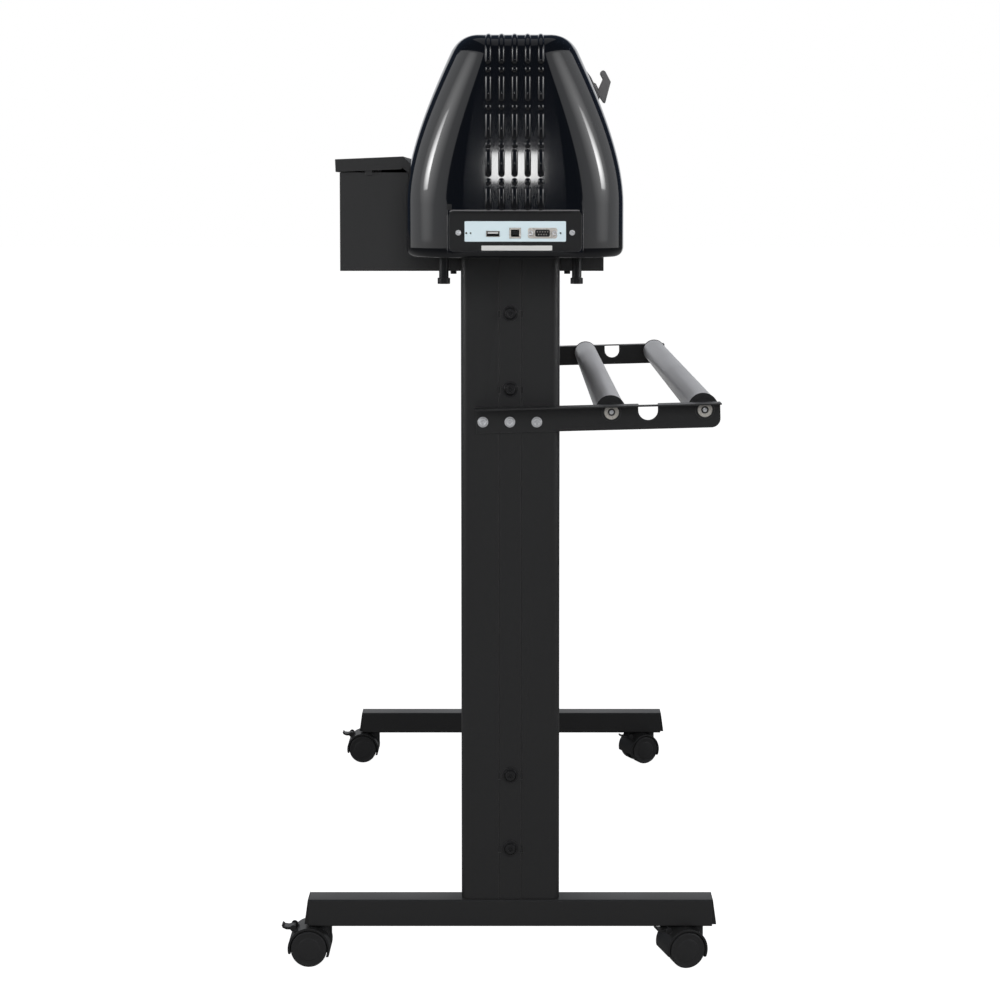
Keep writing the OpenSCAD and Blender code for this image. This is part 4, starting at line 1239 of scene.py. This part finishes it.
def make_world():
    """White to the camera, nearly black in reflections, and a moderate fill."""
    world = bpy.data.worlds.new("studio")
    world.use_nodes = True
    tree = world.node_tree
    path = tree.nodes.new("ShaderNodeLightPath")
    fill = (0.16, 0.16, 0.165, 1.0)
    reflected = (0.030, 0.042, 0.066, 1.0)
    seen = blend_colours(tree, path.outputs["Is Glossy Ray"], fill, reflected)
    shade = blend_colours(tree, path.outputs["Is Camera Ray"], seen, (1.0, 1.0, 1.0, 1.0))
    tree.links.new(shade, tree.nodes["Background"].inputs["Color"])
    world.cycles.sampling_method = "NONE"
    bpy.context.scene.world = world


def make_floor():
    shape = bmesh.new()
    bmesh.ops.create_grid(shape, x_segments=2, y_segments=2, size=30.0)
    floor = as_object(shape, "floor")
    material = bpy.data.materials.new("floor_paper")
    material.use_nodes = True
    shader = material.node_tree.nodes["Principled BSDF"]
    shader.inputs["Base Color"].default_value = (0.40, 0.40, 0.40, 1.0)
    shader.inputs["Roughness"].default_value = 0.9
    shader.inputs["Specular IOR Level"].default_value = 0.0
    shader.inputs["Emission Color"].default_value = (1.0, 1.0, 1.0, 1.0)
    path = material.node_tree.nodes.new("ShaderNodeLightPath")
    glow = between(material.node_tree, path.outputs["Is Camera Ray"], 0.0, 0.97)
    material.node_tree.links.new(glow, shader.inputs["Emission Strength"])
    floor.data.materials.append(material)


def make_camera():
    lens = bpy.data.cameras.new("camera")
    lens.lens = 80.7
    lens.sensor_width = 36.0
    lens.shift_x = -0.0146
    lens.shift_y = -0.165
    lens.dof.use_dof = False
    camera = bpy.data.objects.new("camera", lens)
    bpy.context.scene.collection.objects.link(camera)
    camera.location = EYE
    camera.rotation_euler = (math.radians(90 - 3.73), 0.0, math.radians(90))
    bpy.context.scene.camera = camera


def make_stage():
    make_world()
    make_floor()
    make_lights()
    make_camera()
    bpy.context.scene.view_settings.view_transform = "Standard"


# ---------- operators and panel ----------
class CUTTER_OT_stage(bpy.types.Operator):
    """Make the floor, the lights and the camera"""

    bl_idname = "cutter.stage"
    bl_label = "Studio"

    def execute(self, context):
        make_stage()
        return {"FINISHED"}


class CUTTER_OT_end_caps(bpy.types.Operator):
    """Make the glossy end caps with their ribs"""

    bl_idname = "cutter.end_caps"
    bl_label = "End caps"

    def execute(self, context):
        make_end_caps()
        return {"FINISHED"}


class CUTTER_OT_ports(bpy.types.Operator):
    """Make the port plate, its sockets and its label strip"""

    bl_idname = "cutter.ports"
    bl_label = "Data ports"

    def execute(self, context):
        make_port_plate()
        make_ports()
        return {"FINISHED"}


class CUTTER_OT_power(bpy.types.Operator):
    """Make the mains inlet and its rocker switch"""

    bl_idname = "cutter.power"
    bl_label = "Mains inlet"

    def execute(self, context):
        make_power_entry()
        return {"FINISHED"}


class CUTTER_OT_stand(bpy.types.Operator):
    """Make the feet, the columns, the crossbeams and their bolts"""

    bl_idname = "cutter.stand"
    bl_label = "Stand"

    def execute(self, context):
        make_stand()
        return {"FINISHED"}


class CUTTER_OT_casters(bpy.types.Operator):
    """Make the four casters"""

    bl_idname = "cutter.casters"
    bl_label = "Casters"

    def execute(self, context):
        make_casters()
        return {"FINISHED"}


class CUTTER_OT_roll_holder(bpy.types.Operator):
    """Make the roll brackets, their screws, the bearings and the rollers"""

    bl_idname = "cutter.roll_holder"
    bl_label = "Roll holder"

    def execute(self, context):
        make_roll_holder()
        return {"FINISHED"}


class CUTTER_OT_front_table(bpy.types.Operator):
    """Make the front table and its lid"""

    bl_idname = "cutter.front_table"
    bl_label = "Front table"

    def execute(self, context):
        make_front_table()
        return {"FINISHED"}


class CUTTER_OT_bed(bpy.types.Operator):
    """Make the base extrusion, end plates, platen, cutting strip and apron"""

    bl_idname = "cutter.bed"
    bl_label = "Bed"

    def execute(self, context):
        make_bed()
        return {"FINISHED"}


class CUTTER_OT_hood(bpy.types.Operator):
    """Make the rail, the hood over it and the control panel"""

    bl_idname = "cutter.hood"
    bl_label = "Rail and hood"

    def execute(self, context):
        make_hood()
        return {"FINISHED"}


class CUTTER_OT_drives(bpy.types.Operator):
    """Make the motors, the belts and the electronics"""

    bl_idname = "cutter.drives"
    bl_label = "Drives"

    def execute(self, context):
        make_drives()
        return {"FINISHED"}


class CUTTER_OT_feed_shaft(bpy.types.Operator):
    """Make the feed shaft with its grit sleeves"""

    bl_idname = "cutter.feed_shaft"
    bl_label = "Feed shaft"

    def execute(self, context):
        make_feed_shaft()
        return {"FINISHED"}


class CUTTER_OT_carriage(bpy.types.Operator):
    """Make the carriage and its sliding tool holder"""

    bl_idname = "cutter.carriage"
    bl_label = "Carriage"

    def execute(self, context):
        make_carriage()
        return {"FINISHED"}


class CUTTER_OT_pinch_units(bpy.types.Operator):
    """Make the three pinch units"""

    bl_idname = "cutter.pinch_units"
    bl_label = "Pinch units"

    def execute(self, context):
        make_pinch_units()
        return {"FINISHED"}


OPERATORS = (
    CUTTER_OT_stage, CUTTER_OT_end_caps, CUTTER_OT_ports, CUTTER_OT_power, CUTTER_OT_stand,
    CUTTER_OT_casters, CUTTER_OT_roll_holder, CUTTER_OT_front_table, CUTTER_OT_bed, CUTTER_OT_hood,
    CUTTER_OT_drives, CUTTER_OT_feed_shaft, CUTTER_OT_carriage, CUTTER_OT_pinch_units,
)


class CUTTER_PT_panel(bpy.types.Panel):
    """Lists the sizes and the colours, with a button for each group of pieces"""

    bl_idname = "CUTTER_PT_panel"
    bl_label = "Vinyl cutter"
    bl_space_type = "VIEW_3D"
    bl_region_type = "UI"
    bl_category = "Cutter"

    def draw(self, context):
        for group in (context.scene.cutter_sizes, context.scene.cutter_colours):
            box = self.layout.box()
            for name in group.bl_rna.properties.keys():
                if name not in {"rna_type", "name"}:
                    box.prop(group, name)
        for operator in OPERATORS:
            self.layout.operator(operator.bl_idname)


CLASSES = (CutterSizes, CutterColours) + OPERATORS + (CUTTER_PT_panel,)


def register():
    for item in CLASSES:
        bpy.utils.register_class(item)
    bpy.types.Scene.cutter_sizes = PointerProperty(type=CutterSizes)
    bpy.types.Scene.cutter_colours = PointerProperty(type=CutterColours)


def unregister():
    del bpy.types.Scene.cutter_colours
    del bpy.types.Scene.cutter_sizes
    for item in reversed(CLASSES):
        bpy.utils.unregister_class(item)


def main():
    register()
    for operator in OPERATORS:
        name = operator.bl_idname.split(".")[1]
        getattr(bpy.ops.cutter, name)()


if __name__ == "__main__":
    main()
